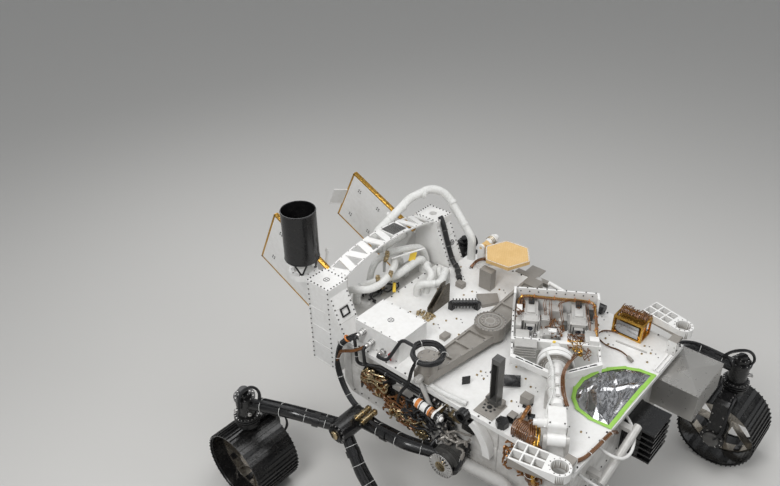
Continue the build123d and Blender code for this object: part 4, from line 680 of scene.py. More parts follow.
    @classmethod
    def join(cls, pieces: Sequence[bpy.types.Object]) -> bpy.types.Object:
        """Joins pieces into one.

        Args:
            pieces: The pieces, of which the first takes in the others.

        Returns:
            The joined piece.
        """
        cls.clear()
        for piece in pieces:
            piece.select_set(True)
        bpy.context.view_layer.objects.active = pieces[0]
        if len(pieces) > 1:
            bpy.ops.object.join()
        return bpy.context.object

    @classmethod
    def copies(cls, pattern: bpy.types.Object, places: Sequence[Matrix]) -> bpy.types.Object:
        """Copies a finished pattern to each place and joins the copies.

        Args:
            pattern: The piece to copy, which is removed.
            places: Place of each copy.

        Returns:
            The joined copies.
        """
        made = []
        for place in places:
            copy = pattern.copy()
            copy.data = pattern.data.copy()
            copy.matrix_world = place
            bpy.context.scene.collection.objects.link(copy)
            made.append(copy)
        bpy.data.objects.remove(pattern)
        bpy.context.view_layer.update()
        return cls.apply(cls.join(made))

    @classmethod
    def screw(cls, radius: float, height: float) -> bpy.types.Object:
        """Socket screw head standing on the origin: a drum with a sunk socket.

        Args:
            radius: Radius in metres.
            height: Height in metres.

        Returns:
            The new piece.
        """
        cls.clear()
        bpy.ops.mesh.primitive_cylinder_add(
            vertices=12, radius=radius, depth=height, location=(0, 0, height / 2))
        piece = cls.apply(bpy.context.object)
        bpy.ops.object.mode_set(mode="EDIT")
        bpy.ops.mesh.select_mode(type="FACE")
        bpy.ops.mesh.select_all(action="DESELECT")
        bpy.ops.object.mode_set(mode="OBJECT")
        for face in piece.data.polygons:
            face.select = face.normal.z > 0.9
        bpy.ops.object.mode_set(mode="EDIT")
        bpy.ops.mesh.inset(thickness=radius * 0.18)
        bpy.ops.mesh.inset(thickness=radius * 0.3)
        bpy.ops.mesh.extrude_region_move(TRANSFORM_OT_translate={"value": (0, 0, -height * 0.6)})
        bpy.ops.object.mode_set(mode="OBJECT")
        return piece

    def settle(self, piece: bpy.types.Object, name: str, finish: Finish, body: str = "chassis",
               slot: str = "", smooth: float = 38.0) -> bpy.types.Object:
        """Names a finished piece, gives it its finish and lets it ride on a body.

        Args:
            piece: The piece, with its place in its mesh.
            name: The piece's name.
            finish: Its finish.
            body: The body it moves with.
            slot: The record's material slot, where it isn't the finish's own; it is not used.
            smooth: Greatest angle in degrees over which faces shade as one.

        Returns:
            The same piece.
        """
        self.pick(piece)
        piece.name = name
        piece.data.name = name
        piece.data.materials.clear()
        piece.data.materials.append(self.materials[finish.name])
        bpy.ops.object.shade_smooth_by_angle(angle=math.radians(smooth))
        slot = slot or finish.slot
        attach(piece, body)
        LOG.info("%s: %d faces on %s", name, len(piece.data.polygons), body)
        return piece


def seat(point: Vector, normal: Vector) -> Matrix:
    """Place of a thing that stands on a point along a normal."""
    return Matrix.Translation(point) @ normal.to_track_quat("Z", "X").to_matrix().to_4x4()


def row(start: Vector, end: Vector, count: int) -> list[Vector]:
    """Points evenly spaced from start to end, both included."""
    return [start.lerp(end, index / max(1, count - 1)) for index in range(count)]


def circle(centre: Vector, axis: Vector, radius: float, count: int, phase: float = 0.0) -> list[Vector]:
    """Points evenly spaced round a circle about an axis.

    Args:
        centre: The circle's centre.
        axis: Direction of its axis.
        radius: Radius in metres.
        count: Number of points.
        phase: Turn of the first point in radians.

    Returns:
        The points in order.
    """
    frame = axis.to_track_quat("Z", "X")
    made = []
    for index in range(count):
        turn = phase + math.tau * index / count
        made.append(centre + frame @ Vector((radius * math.cos(turn), radius * math.sin(turn), 0)))
    return made


def with_normal(points: Iterable[Vector], normal: Vector) -> list[tuple[Vector, Vector]]:
    """The points, each with the same outward normal."""
    return [(point, normal) for point in points]


def line(*places: Triple) -> list[Vector]:
    """Points of a route, from their places in millimetres."""
    return [mm(*place) for place in places]


def shifted(points: Sequence[Vector], offset: Vector) -> list[Vector]:
    """The same points, moved."""
    return [point + offset for point in points]


def closed(corners: Sequence[Vector]) -> list[tuple[Vector, Vector]]:
    """Start and end of each side of a closed outline."""
    return list(zip(corners, [*corners[1:], corners[0]]))


def middles(points: Sequence[Vector]) -> list[tuple[Vector, Vector]]:
    """Middle and direction of each run between points, where a smooth cable touches it."""
    made = []
    for near, far in zip(points, points[1:]):
        made.append(((near + far) / 2, (far - near).normalized()))
    return made


@dataclass
class SubAssembly:
    """A part of the vehicle that is dressed together."""

    bench: Bench
    chance: random.Random = field(default_factory=lambda: random.Random(11))
    # Height of a screw head over its radius
    head_share: float = 0.9
    # Length, width and height of the head of a cable tie, and the band's thickness at most
    tie_head: Triple = (0.005, 0.004, 0.005)
    tie_band: float = 0.0016
    # Steps of a wire in a nest, and its wander and slow and quick advance at each, in metres
    nest_steps: int = 6
    nest_wander: float = 0.030
    nest_advance: tuple[float, float] = (0.006, 0.026)

    def fit(self, pieces: Sequence[bpy.types.Object], name: str, finish: Finish, body: str = "chassis",
            slot: str = "") -> bpy.types.Object:
        """Joins pieces and settles them as one.

        Args:
            pieces: The pieces, with their places in their meshes.
            name: The joined piece's name.
            finish: Their finish.
            body: The body they ride on.
            slot: The record's material slot, where it isn't the finish's own.

        Returns:
            The joined piece.
        """
        return self.bench.settle(Bench.join(pieces), name, finish, body, slot)

    def screws(self, name: str, places: Sequence[tuple[Vector, Vector]], radius: float, finish: Finish,
               body: str = "chassis") -> None:
        """Sets screw heads on their places.

        Args:
            name: The joined piece's name.
            places: Foot and outward normal of each head.
            radius: Radius of a head in metres.
            finish: Their finish.
            body: The body they ride on.
        """
        pattern = Bench.screw(radius, radius * self.head_share)
        heads = Bench.copies(pattern, [seat(point, normal) for point, normal in places])
        self.bench.settle(heads, name, finish, body)

    def ties(self, name: str, places: Sequence[tuple[Vector, Vector]], radius: float, finish: Finish = TIE,
             body: str = "chassis") -> None:
        """Bands drawn tight round a bundle, each with its small head.

        Args:
            name: The joined piece's name.
            places: Centre of each band and direction of the bundle there.
            radius: Radius of a band in metres.
            finish: Their finish.
            body: The body they ride on.
        """
        bands = []
        for centre, direction in places:
            band = Bench.ring(centre, direction, radius, min(self.tie_band, radius * 0.1), 16, 6)
            head = Bench.block(
                centre + direction.orthogonal().normalized() * radius * 1.1, self.tie_head)
            bands.append(Bench.join([band, head]))
        self.fit(bands, name, finish, body, TIE.slot)

    def bundle(self, name: str, points: Sequence[Vector], spread: float, strands: int, wire: float,
               finish: Finish, body: str = "chassis") -> None:
        """Loose bundle of wires that share a route.

        Args:
            name: The joined piece's name.
            points: Route that the bundle follows.
            spread: Radius of the bundle in metres.
            strands: Number of wires.
            wire: Radius of a wire in metres.
            finish: The wires' finish.
            body: The body they ride on.
        """
        routes = []
        last = len(points) - 1
        for index in range(strands):
            turn = math.tau * index / strands
            route = []
            for place, point in enumerate(points):
                near = points[max(0, place - 1)]
                far = points[min(last, place + 1)]
                frame = (far - near).to_track_quat("Z", "X")
                reach = spread * self.chance.uniform(0.55, 1.0)
                angle = turn + self.chance.uniform(-0.5, 0.5)
                route.append(point + frame @ Vector((reach * math.cos(angle), reach * math.sin(angle), 0)))
            routes.append(route)
        self.bench.settle(Bench.cables(routes, wire), name, finish, body)

    def nest(self, name: str, low: Vector, high: Vector, count: int, wire: float, finish: Finish,
             body: str = "chassis", frame: Matrix | None = None) -> None:
        """Tangle of wires inside a box, which lie mostly along its longest side.

        Args:
            name: The joined piece's name.
            low: Lower corner of the box.
            high: Upper corner of the box.
            count: Number of wires.
            wire: Radius of a wire in metres.
            finish: The wires' finish.
            body: The body they ride on.
            frame: Place of the box, where its corners aren't in the model's own frame.
        """
        frame = frame or Matrix.Identity(4)
        spans = [high[axis] - low[axis] for axis in range(3)]
        longest = spans.index(max(spans))
        routes = []
        for _ in range(count):
            point = Vector([self.chance.uniform(low[axis], high[axis]) for axis in range(3)])
            heading = self.chance.choice((-1, 1))
            route = [point]
            for step in range(self.nest_steps):
                near = [
                    point[axis] + self.chance.uniform(-self.nest_wander,
                    self.nest_wander) for axis in range(3)]
                near[longest] += heading * self.nest_advance[step % 3 > 0]
                point = Vector([min(high[axis], max(low[axis], near[axis])) for axis in range(3)])
                route.append(point)
            routes.append([frame @ place for place in route])
        self.bench.settle(Bench.cables(routes, wire), name, finish, body)

    def plugs(self, name: str, places: Sequence[tuple[Vector, Vector]], radius: float, length: float,
              finish: Finish, body: str = "chassis") -> None:
        """Round plugs with a coupling ring.

        Args:
            name: The joined piece's name.
            places: Foot and direction of each plug.
            radius: Radius of a plug in metres.
            length: Length of a plug in metres.
            finish: Their finish.
            body: The body they ride on.
        """
        made = []
        for foot, direction in places:
            tip = foot + direction.normalized() * length
            made.append(Bench.drum(foot, tip, radius, 14, radius * 0.12))
            made.append(Bench.ring(foot.lerp(tip, 0.6), direction, radius * 1.05, radius * 0.16, 16,
                6))
        self.fit(made, name, finish, body)

    def plates(self, name: str, blocks: Sequence[tuple[Vector, Triple, Matrix | None]], finish: Finish,
               body: str = "chassis", slot: str = "", bevel: float = 0.0015) -> None:
        """Plates and boxes with softened edges.

        Args:
            name: The joined piece's name.
            blocks: Centre, size and turn of each.
            finish: Their finish.
            body: The body they ride on.
            slot: The record's material slot, where it isn't the finish's own.
            bevel: Width of the bevel on their edges.
        """
        made = [Bench.block(centre, size, turn, bevel) for centre, size, turn in blocks]
        self.fit(made, name, finish, body, slot)


@dataclass
class Wheels(SubAssembly):
    """Hub bolts, rim bands and spoke feet of the six wheels, and the bolts of their knuckles."""

    bolt_circle: float = 54.0
    rim_radius: float = 251.5
    # Distances outward from the wheel's centre in metres: hub face, cap and the two rim bands
    hub_face: float = 0.062
    cap_face: float = 0.080
    bands: tuple[float, float] = (-0.160, 0.158)
    # Spokes, the turn of the first in degrees, and the place and size of a spoke's foot in metres
    spokes: int = 8
    first_spoke: float = 34.0
    foot_out: float = 0.025
    foot_reach: float = 0.238
    foot_size: Triple = (0.042, 0.060, 0.006)
    # Distance from a corner wheel's centre inward to its bracket's leg
    leg_inset: float = 217.0

    def build(self) -> None:
        """Dresses each wheel and each steered corner."""
        for name, (x, y) in {**CORNERS, **MIDDLES}.items():
            side = 1 if y > 0 else -1
            self._wheel(name, mm(x, y, WHEEL_RADIUS), PORT * side)
        for name, (x, y) in CORNERS.items():
            self._corner(name, x, y, 1 if y > 0 else -1)

    def _wheel(self, name: str, centre: Vector, outward: Vector) -> None:
        """Fits one wheel's bolts and the bands inside its rim.

        Args:
            name: The wheel's name.
            centre: The wheel's centre.
            outward: Direction of its axle away from the vehicle.
        """
        face = centre + outward * self.hub_face
        bolts = with_normal(circle(face, outward, self.bolt_circle / 1000, 12), outward)
        cap = centre + outward * self.cap_face
        bolts += with_normal(circle(cap, outward, 0.030, 6), outward)
        self.screws(f"hub_bolts_{name}", bolts, 0.0048, STEEL, f"wheel_{name}")
        bands = [
            Bench.ring(centre + outward * depth, outward, (self.rim_radius - 4) / 1000, 0.004, 72, 6)
            for depth in self.bands]
        for index in range(self.spokes):
            turn = math.tau * index / self.spokes + math.radians(self.first_spoke)
            radial = Vector((math.cos(turn), 0, math.sin(turn)))
            frame = Matrix((radial.cross(PORT), PORT, radial)).transposed()
            place = centre + outward * self.foot_out + radial * self.foot_reach
            bands.append(Bench.block(place, self.foot_size, frame, 0.0015))
        self.fit(bands, f"rim_bands_{name}", BLACK, f"wheel_{name}")

    def _corner(self, name: str, x: float, y: float, side: int) -> None:
        """Fits one steering bracket's bolts and its motor cable.

        Args:
            name: The corner's name.
            x: Place of its wheel along the vehicle, in millimetres.
            y: Place of its wheel across the vehicle, in millimetres.
            side: 1 on the port side and -1 on the other.
        """
        body = f"steering_{name}"
        plate = STEER_FOOT - 0.3
        bolts = []
        for along in (-38, 38):
            for across in (95, 130, 165):
                bolts.append((mm(x + along, y - side * across, plate), UP))
        leg = y - side * self.leg_inset
        for z in (320, 400, 480):
            for along in (-36, 36):
                bolts.append((mm(x + along, leg, z), PORT * -side))
        bolts += with_normal(circle(mm(x, leg, WHEEL_RADIUS), PORT, 0.066, 10), PORT * -side)
        self.screws(f"knuckle_bolts_{name}", bolts, 0.0055, STEEL, body)
        route = line(
            (x + 20, leg, 275), (x + 20, y - side * 260, 280), (x + 62, y - side * 268, 380),
            (x + 58, y - side * 248, 500), (x + 56, y - side * 180, 600), (x + 52, y - side * 120, 598))
        self.bundle(f"motor_cable_{name}", route, 0.007, 3, 0.0045, JACKET, body)
        cap = mm(x, leg, WHEEL_RADIUS)
        cover = Bench.drum(cap, cap - PORT * side * 0.022, 0.052, 28, 0.003)
        self.bench.settle(cover, f"brake_cover_{name}", DARK, body)


@dataclass
class SuspensionArms(SubAssembly):
    """Cables, ties and bolts along the rockers, the bogies and the steering drives."""

    arm_radius: float = 38.0
    bare_arm: tuple[str, int] = ("front", -1)
    # Centres of the port side's pivot drums on their outer faces, in millimetres
    rocker: Triple = (120.0, 740.0, 712.0)
    bogie: Triple = (-530.0, 960.0, 705.0)
    # Where the rocker's flange meets the wall
    flange_y: float = 591.0
    fins: int = 22

    def routes(self, side: int) -> dict[str, list[Vector]]:
        """Centre lines of one side's arms."""
        return {
            "front": line((175, side * 665, 720), (360, side * 662, 765), (560, side * 690, 796),
                      (680, side * 900, 806), (790, side * 1090, 812), (960, side * 1142, 778),
                      (1075, side * 1164, 752)),
            "rear": line((30, side * 695, 722), (-110, side * 768, 742), (-260, side * 778, 731),
                     (-400, side * 783, 718), (-500, side * 790, 760)),
            "trailing": line((-575, side * 925, 722), (-680, side * 985, 748), (-800, side * 1060, 778),
                         (-960, side * 1112, 763), (-1075, side * 1150, 750)),
            "leading": line((-500, side * 905, 665), (-400, side * 938, 570), (-330, side * 958, 500),
                        (-200, side * 982, 408), (-60, side * 1012, 305)),
        }

    def build(self) -> None:
        """Lays the cables and sets the bolts on both sides."""
        for label, side in (("left", 1), ("right", -1)):
            for name, route in self.routes(side).items():
                if (name, side) != self.bare_arm:
                    self._dress_arm(f"{name}_{label}", route, side)
            self._pivots(label, side)
        for name, (x, y) in CORNERS.items():
            self._drive(name, x, y)

    def _dress_arm(self, name: str, route: list[Vector], side: int) -> None:
        """Runs two bundles over one arm, tied down at each run.

        Args:
            name: The arm's name.
            route: The arm's centre line.
            side: 1 on the port side and -1 on the other.
        """
        over = Vector((0, side * 0.012, (self.arm_radius + 7) / 1000))
        under = Vector((0, -side * 0.038, 0.024))
        self.bundle(f"arm_cables_{name}", shifted(route, over), 0.010, 5, 0.0055, JACKET)
        self.bundle(f"arm_wires_{name}", shifted(route, under), 0.006, 3, 0.0045, JACKET)
        places = middles(shifted(route, Vector((0, 0, 0.004))))
        self.ties(f"arm_ties_{name}", places, (self.arm_radius + 9) / 1000)

    def _pivots(self, label: str, side: int) -> None:
        """Bolts, fins, hoses and plugs round the rocker's and the bogie's drums.

        Args:
            label: The side's name.
            side: 1 on the port side and -1 on the other.
        """
        outward = PORT * side
        x, y, z = self.rocker
        rocker = mm(x, side * y, z)
        flange = mm(x, side * self.flange_y, z)
        bogie_x, bogie_y, bogie_z = self.bogie
        bogie = mm(bogie_x, side * bogie_y, bogie_z)
        bolts = []
        for centre, radius, count in ((rocker, 0.052, 10), (flange, 0.104, 20), (bogie, 0.062, 14)):
            bolts += with_normal(circle(centre, outward, radius, count), outward)
        self.screws(f"pivot_bolts_{label}", bolts, 0.0055, STEEL)
        fins = []
        for index in range(self.fins):
            turn = math.tau * index / self.fins
            radial = Vector((math.cos(turn), 0, math.sin(turn)))
            frame = Matrix((radial, outward, radial.cross(outward))).transposed()
            fins.append((rocker + outward * 0.006 + radial * 0.057, (0.044, 0.014, 0.005), frame))
        self.plates(f"pivot_fins_{label}", fins, PALE_METAL, bevel=0.0006)
        rim = Bench.ring(rocker + outward * 0.004, outward, 0.080, 0.006, 56, 8)
        self.bench.settle(rim, f"pivot_rim_{label}", STEEL, slot="bare_grey")
        pipes = [
            line((40, side * 580, 800), (20, side * 660, 812), (8, side * 715, 760), (30, side * 720, 690),
             (90, side * 690, 660)),
            line((200, side * 580, 815), (230, side * 660, 816), (228, side * 712, 760),
             (206, side * 712, 700), (150, side * 690, 670))]
        self.bench.settle(Bench.cables(pipes, 0.011, 2), f"pivot_hoses_{label}", JACKET)
        feet = circle(mm(20, side * 640, 712), outward, 0.070, 5, 1.2)
        self.plugs(f"pivot_plugs_{label}", with_normal(feet, outward + UP * 0.4), 0.014, 0.040, STEEL)
        caps = [
            Bench.drum(rocker, rocker + outward * 0.014, 0.036, 28, 0.003),
            Bench.ring(rocker, outward, 0.040, 0.003, 40, 6),
            Bench.drum(
                mm(bogie_x, side * (bogie_y + 14), bogie_z), mm(bogie_x, side * (bogie_y + 26), bogie_z),
                0.030, 24, 0.003)]
        self.fit(caps, f"pivot_caps_{label}", BRASS)

    def _drive(self, name: str, x: float, y: float) -> None:
        """Flange bolts, plugs and cable loops of one steering drive.

        Args:
            name: The corner's name.
            x: Place of the drive along the vehicle, in millimetres.
            y: Place of the drive across the vehicle, in millimetres.
        """
        flanges = [
            Bench.drum(mm(x, y, foot), mm(x, y, foot + 9), 0.086, 40, 0.0015)
            for foot in (608, 626, 644)]
        self.fit(flanges, f"drive_flanges_{name}", BLACK)
        bolts = []
        for height, radius, count in ((643, 0.0685, 12), (653, 0.079, 22), (807, 0.059, 10),
                (837, 0.039, 8)):
            bolts += with_normal(circle(mm(x, y, height), UP, radius, count), UP)
        self.screws(f"drive_bolts_{name}", bolts, 0.0042, STEEL)
        outward = 1 if y > 0 else -1
        plugs = []
        for turn in (0.4, 1.5):
            reach = Vector((math.cos(turn), outward * math.sin(turn), 0))
            foot = mm(x, y, 700 + 24 * turn) + reach * 0.060
            plugs.append(Bench.drum(foot, foot + reach * 0.032, 0.012, 16, 0.0015))
            plugs.append(Bench.ring(foot + reach * 0.026, reach, 0.012, 0.002, 16, 6))
        self.fit(plugs, f"drive_plugs_{name}", STEEL)
        inward = -1 if x > 0 else 1
        loop = line(
            (x + 30, y + outward * 78, 724), (x + 70, y + outward * 100, 770),
            (x + 30, y + outward * 62, 880), (x + inward * 50, y - outward * 30, 900),
            (x + inward * 100, y - outward * 60, 850),
            (x + inward * 110, y - outward * 30, 800))
        self.bundle(f"drive_cables_{name}", loop, 0.009, 4, 0.005, JACKET)


@dataclass
class Deck(SubAssembly):
    """Edge screws, register marks, wires and small fittings on the deck and its units."""

    # Places across and along the deck in millimetres: its two edges and the beam's pivot
    starboard_edge: float = -610.0
    port_edge: float = 728.0
    edge_inset: float = 12.0
    pivot_x: float = -85.0

    def build(self) -> None:
        """Dresses the deck."""
        self._edge_screws()
        self._inserts()
        self._marks()
        self._beam()
        self._box()
        self._coil()
        self._plates()
        self._wires()

    def _edge_screws(self) -> None:
        """Rows of screws along the deck's edges, clear of what stands on them."""
        starboard = self.starboard_edge + self.edge_inset
        port = self.port_edge - self.edge_inset
        rows = (
            (mm(-735, starboard, DECK_HEIGHT), mm(-200, starboard, DECK_HEIGHT), 8),
            (mm(190, starboard, DECK_HEIGHT), mm(800, starboard, DECK_HEIGHT), 9),
            (mm(80, port, DECK_HEIGHT), mm(860, port, DECK_HEIGHT), 12),
            (mm(-740, port, DECK_HEIGHT), mm(-240, port, DECK_HEIGHT), 8),
            (mm(868, -560, DECK_HEIGHT), mm(868, -240, DECK_HEIGHT), 5),
            (mm(868, 590, DECK_HEIGHT), mm(868, 700, DECK_HEIGHT), 3),
            (mm(-848, -430, DECK_HEIGHT), mm(-848, 430, DECK_HEIGHT), 13),
        )
        places = [(point, UP) for start, end, count in rows for point in row(start, end, count)]
        self.screws("deck_edge_screws", places, 0.0055, SCREW)

    def _inserts(self) -> None:
        """Threaded inserts and lone screws in the open parts of the deck."""
        spots = (
            (60, -330), (110, -330), (60, -290), (260, -560), (340, -380), (200, -120), (240, -60),
            (300, -170), (360, -210), (120, 480), (160, 520), (200, 560), (260, 600), (100, 620),
            (330, 640), (380, 560), (430, 520), (480, 470), (520, 430), (720, 480), (760, 520),
            (780, 430), (700, 560), (-260, 300), (-220, 420), (-180, 480), (-330, 470), (-480, 260),
            (-460, 330), (-640, -120), (-600, -60), (-520, -160), (-440, -120), (-400, -40),
            (-360, 20), (-250, -100), (-210, -300), (-190, -440), (640, -330), (700, -380),
            (760, -330), (600, -280), (560, -220), (-660, 200), (-640, 420), (-700, 520),
        )
        self.screws("deck_inserts", [(mm(x, y, DECK_HEIGHT), UP) for x, y in spots], 0.0065, BRASS)
        holes = []
        for x, y in spots[::2]:
            holes.append((mm(x + 26, y + 14, DECK_HEIGHT), UP))
            holes.append((mm(x + 52, y - 6, DECK_HEIGHT), UP))
        self.screws("deck_small_screws", holes, 0.0035, SCREW)

    def _mark(self, centre: Vector, normal: Vector, radius: float) -> list[bpy.types.Object]:
        """Register mark: a flat ring with a cross in it.

        Args:
            centre: The mark's centre.
            normal: Outward direction of its face.
            radius: Radius in metres.

        Returns:
            The ring and the two bars.
        """
        flat = Bench.ring(centre, normal, radius, radius * 0.11, 32, 6)
        frame = normal.to_track_quat("Z", "X").to_matrix()
        bars = [
            Bench.block(centre, (radius * 1.9, radius * 0.16, 0.0012), frame),
            Bench.block(centre, (radius * 0.16, radius * 1.9, 0.0012), frame)]
        return [flat, *bars]

    def _marks(self) -> None:
        """Register marks on the deck, the box, the towers and the plates."""
        slope = Vector((0.925, 0, 0.38))
        pieces: list[bpy.types.Object] = []
        for centre, normal, radius in (
                (mm(440, 300, DECK_HEIGHT), UP, 0.017), (mm(-540, -425, 1270), UP, 0.019),
                (mm(-980, -540, 1440), UP, 0.019), (mm(-819, 566, 1245), slope, 0.018),
                (mm(640, -440, DECK_HEIGHT), UP, 0.014), (mm(-640, 560, DECK_HEIGHT), UP, 0.014)):
            pieces += self._mark(centre, normal, radius)
        self.fit(pieces, "register_marks", MARK)

    def _beam(self) -> None:
        """Bolts of the differential's pivot and its two arms."""
        bolts = with_normal(circle(mm(self.pivot_x, 0, 1240), UP, 0.048, 12), UP)
        bolts += with_normal(circle(mm(self.pivot_x, 0, 1236), UP, 0.096, 24), UP)
        for side in (-1, 1):
            for place in (0.26, 0.44, 0.62, 0.80):
                middle = self.pivot_x - 50 * place
                half = 78 - 26 * place
                for edge in (-1, 1):
                    bolts.append((mm(middle + edge * half, side * 560 * place, 1200), UP))
        self.screws("beam_bolts", bolts, 0.0048, STEEL)
        washers = []
        for side in (-1, 1):
            eye = mm(-135, side * 660, 1170)
            washers.append(Bench.drum(eye, eye + PORT * side * 0.006, 0.021, 24, 0.001))
            washers.append(Bench.drum(eye, eye + PORT * side * 0.013, 0.012, 6, 0.001))
        rings = [
            Bench.ring(mm(self.pivot_x, 0, 1236), UP, 0.074, 0.0022, 48, 6),
            Bench.ring(mm(self.pivot_x, 0, 1240), UP, 0.030, 0.0022, 40, 6)]
        self.fit(washers + rings, "beam_washers", BARE)

    def _box(self) -> None:
        """Lid screws, connector rings and a safety cap on the electronics box."""
        screws = []
        for y in (-552, -298):
            screws += with_normal(row(mm(-710, y, 1270), mm(-370, y, 1270), 6), UP)
        for y, facing in ((-560, -1), (-290, 1)):
            screws += with_normal(row(mm(-700, y, 1115), mm(-380, y, 1115), 5), PORT * facing)
        self.screws("box_screws", screws, 0.0036, SCREW)
        rings = []
        for x, rise, length in ((-640, 118, 46), (-570, 70, 46), (-480, 40, 22)):
            for share in (0.15, 0.35, 0.6):
                centre = mm(x, -560 - length * share, DECK_HEIGHT + rise)
                rings.append(Bench.ring(centre, PORT, 0.0178, 0.0024, 24, 6))
            shell = mm(x, -560 - length, DECK_HEIGHT + rise)
            rings.append(Bench.drum(shell, shell - PORT * 0.03, 0.0145, 18, 0.002))
        self.fit(rings, "box_connectors", STEEL)
        cap = mm(-420, -560, 1150)
        knob = Bench.drum(cap, cap - PORT * 0.022, 0.011, 20, 0.003)
        tag = Bench.block(cap + Vector((0.004, -0.014, -0.026)), (0.013, 0.0012, 0.036), None, 0.0004)
        self.fit([knob, tag], "safety_cap", RED)

    def _coil(self) -> None:
        """Turns of cable coiled on the canister, in place of their plain outline."""
        centre = mm(-135, -560, 1296)
        points = []
        turns = 8
        per_turn = 14
        for index in range(turns * per_turn + 1):
            turn = math.tau * index / per_turn
            layer = index / per_turn
            radius = 0.109 - 0.0105 * (layer % 3) + self.chance.uniform(-0.004, 0.004)
            rise = 0.006 + 0.009 * (layer // 3) + self.chance.uniform(0, 0.004)
            points.append(centre + Vector((-radius * math.cos(turn), radius * math.sin(turn), rise)))
        coil = Bench.cable(points, 0.0052, 2)
        self.bench.settle(coil, "coiled_cable", JACKET)
        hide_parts("cable_coil")
        ties = []
        for turn in (0.6, 2.7, 4.8):
            reach = Vector((math.cos(turn), math.sin(turn), 0))
            ties.append((centre + reach * 0.098 + UP * 0.017, reach.cross(UP)))
        self.ties("coil_ties", ties, 0.021)
        lead = line(
            (-140, -655, 1310), (-170, -668, 1240), (-190, -664, 1120), (-262, -668, 1000),
            (-290, -662, 900), (-262, -640, 820))
        self.bundle("coil_lead", lead, 0.008, 3, 0.006, JACKET)
        bolts = with_normal(circle(mm(-135, -560, 1292), UP, 0.040, 6), UP)
        self.screws("canister_bolts", bolts, 0.005, STEEL)

    def _plates(self) -> None:
        """Small brackets, pads and fittings that stand about the deck."""
        lean = Matrix.Rotation(0.6, 3, "Z") @ Matrix.Rotation(0.5, 3, "X")
        self.plates("deck_brackets", [
            (mm(55, -433, 1130), (0.050, 0.006, 0.060), Matrix.Rotation(0.9, 3, "Z")),
            (mm(257, -262, 1128), (0.110, 0.070, 0.005), lean),
            (mm(480, -420, 1106), (0.070, 0.040, 0.012), Matrix.Rotation(0.4, 3, "Z")),
            (mm(430, -350, 1104), (0.050, 0.050, 0.008), Matrix.Rotation(0.2, 3, "Z")),
            (mm(120, -250, 1105), (0.030, 0.030, 0.010), None),
        ], BLACK, slot="dark_grey")
        pads = []
        for _ in range(22):
            spot = mm(self.chance.uniform(-600, -480), self.chance.uniform(-120, -50), DECK_HEIGHT + 5)
            size = [self.chance.uniform(0.010, 0.024) for _ in range(3)]
            pads.append((spot, tuple(size), Matrix.Rotation(self.chance.uniform(0, 3), 3, "Z")))
        self.plates("deck_fittings", pads, BRASS)
        dots = [Bench.drum(mm(275, -505, 1108), mm(275, -505, 1109.2), 0.016, 24)]
        for point in circle(mm(275, -505, 1108), UP, 0.034, 8):
            dots.append(Bench.drum(point, point + UP * 0.0012, 0.0075, 16))
        self.fit(dots, "pedestal_holes", MARK)
        self.plates("deck_rails", [
            (mm(640, 500, 1103), (0.200, 0.012, 0.006), Matrix.Rotation(0.1, 3, "Z")),
            (mm(300, 100, 1104), (0.012, 0.110, 0.008), Matrix.Rotation(0.62, 3, "Z")),
            (mm(260, 260, 1108), (0.060, 0.050, 0.016), None),
            (mm(-300, -330, 1106), (0.080, 0.030, 0.012), None),
            (mm(-560, -190, 1106), (0.050, 0.070, 0.012), None),
        ], PALE_METAL)

    def _wires(self) -> None:
        """Loose brown wires across the deck and at the front edge."""
        front = line(
            (612, -600, 1190), (700, -635, 1128), (790, -600, 1114), (868, -520, 1116),
            (884, -380, 1112), (886, -270, 1108), (890, -200, 1090), (880, -120, 1010))
        self.bundle("nose_harness", front, 0.009, 6, 0.0042, COPPER_WIRE)
        self.ties("nose_ties", middles(front)[1:6], 0.0145)
        wander = line(
            (520, 560, 1112), (430, 545, 1108), (420, 450, 1107), (520, 400, 1108),
            (600, 420, 1108), (660, 400, 1110), (690, 380, 1112))
        self.bundle("deck_wires", wander, 0.0035, 2, 0.0026, COPPER_WIRE)
        plug = Bench.drum(mm(672, 388, 1113), mm(712, 366, 1113), 0.012, 16, 0.002)
        self.bench.settle(plug, "deck_wire_plug", TAUPE)


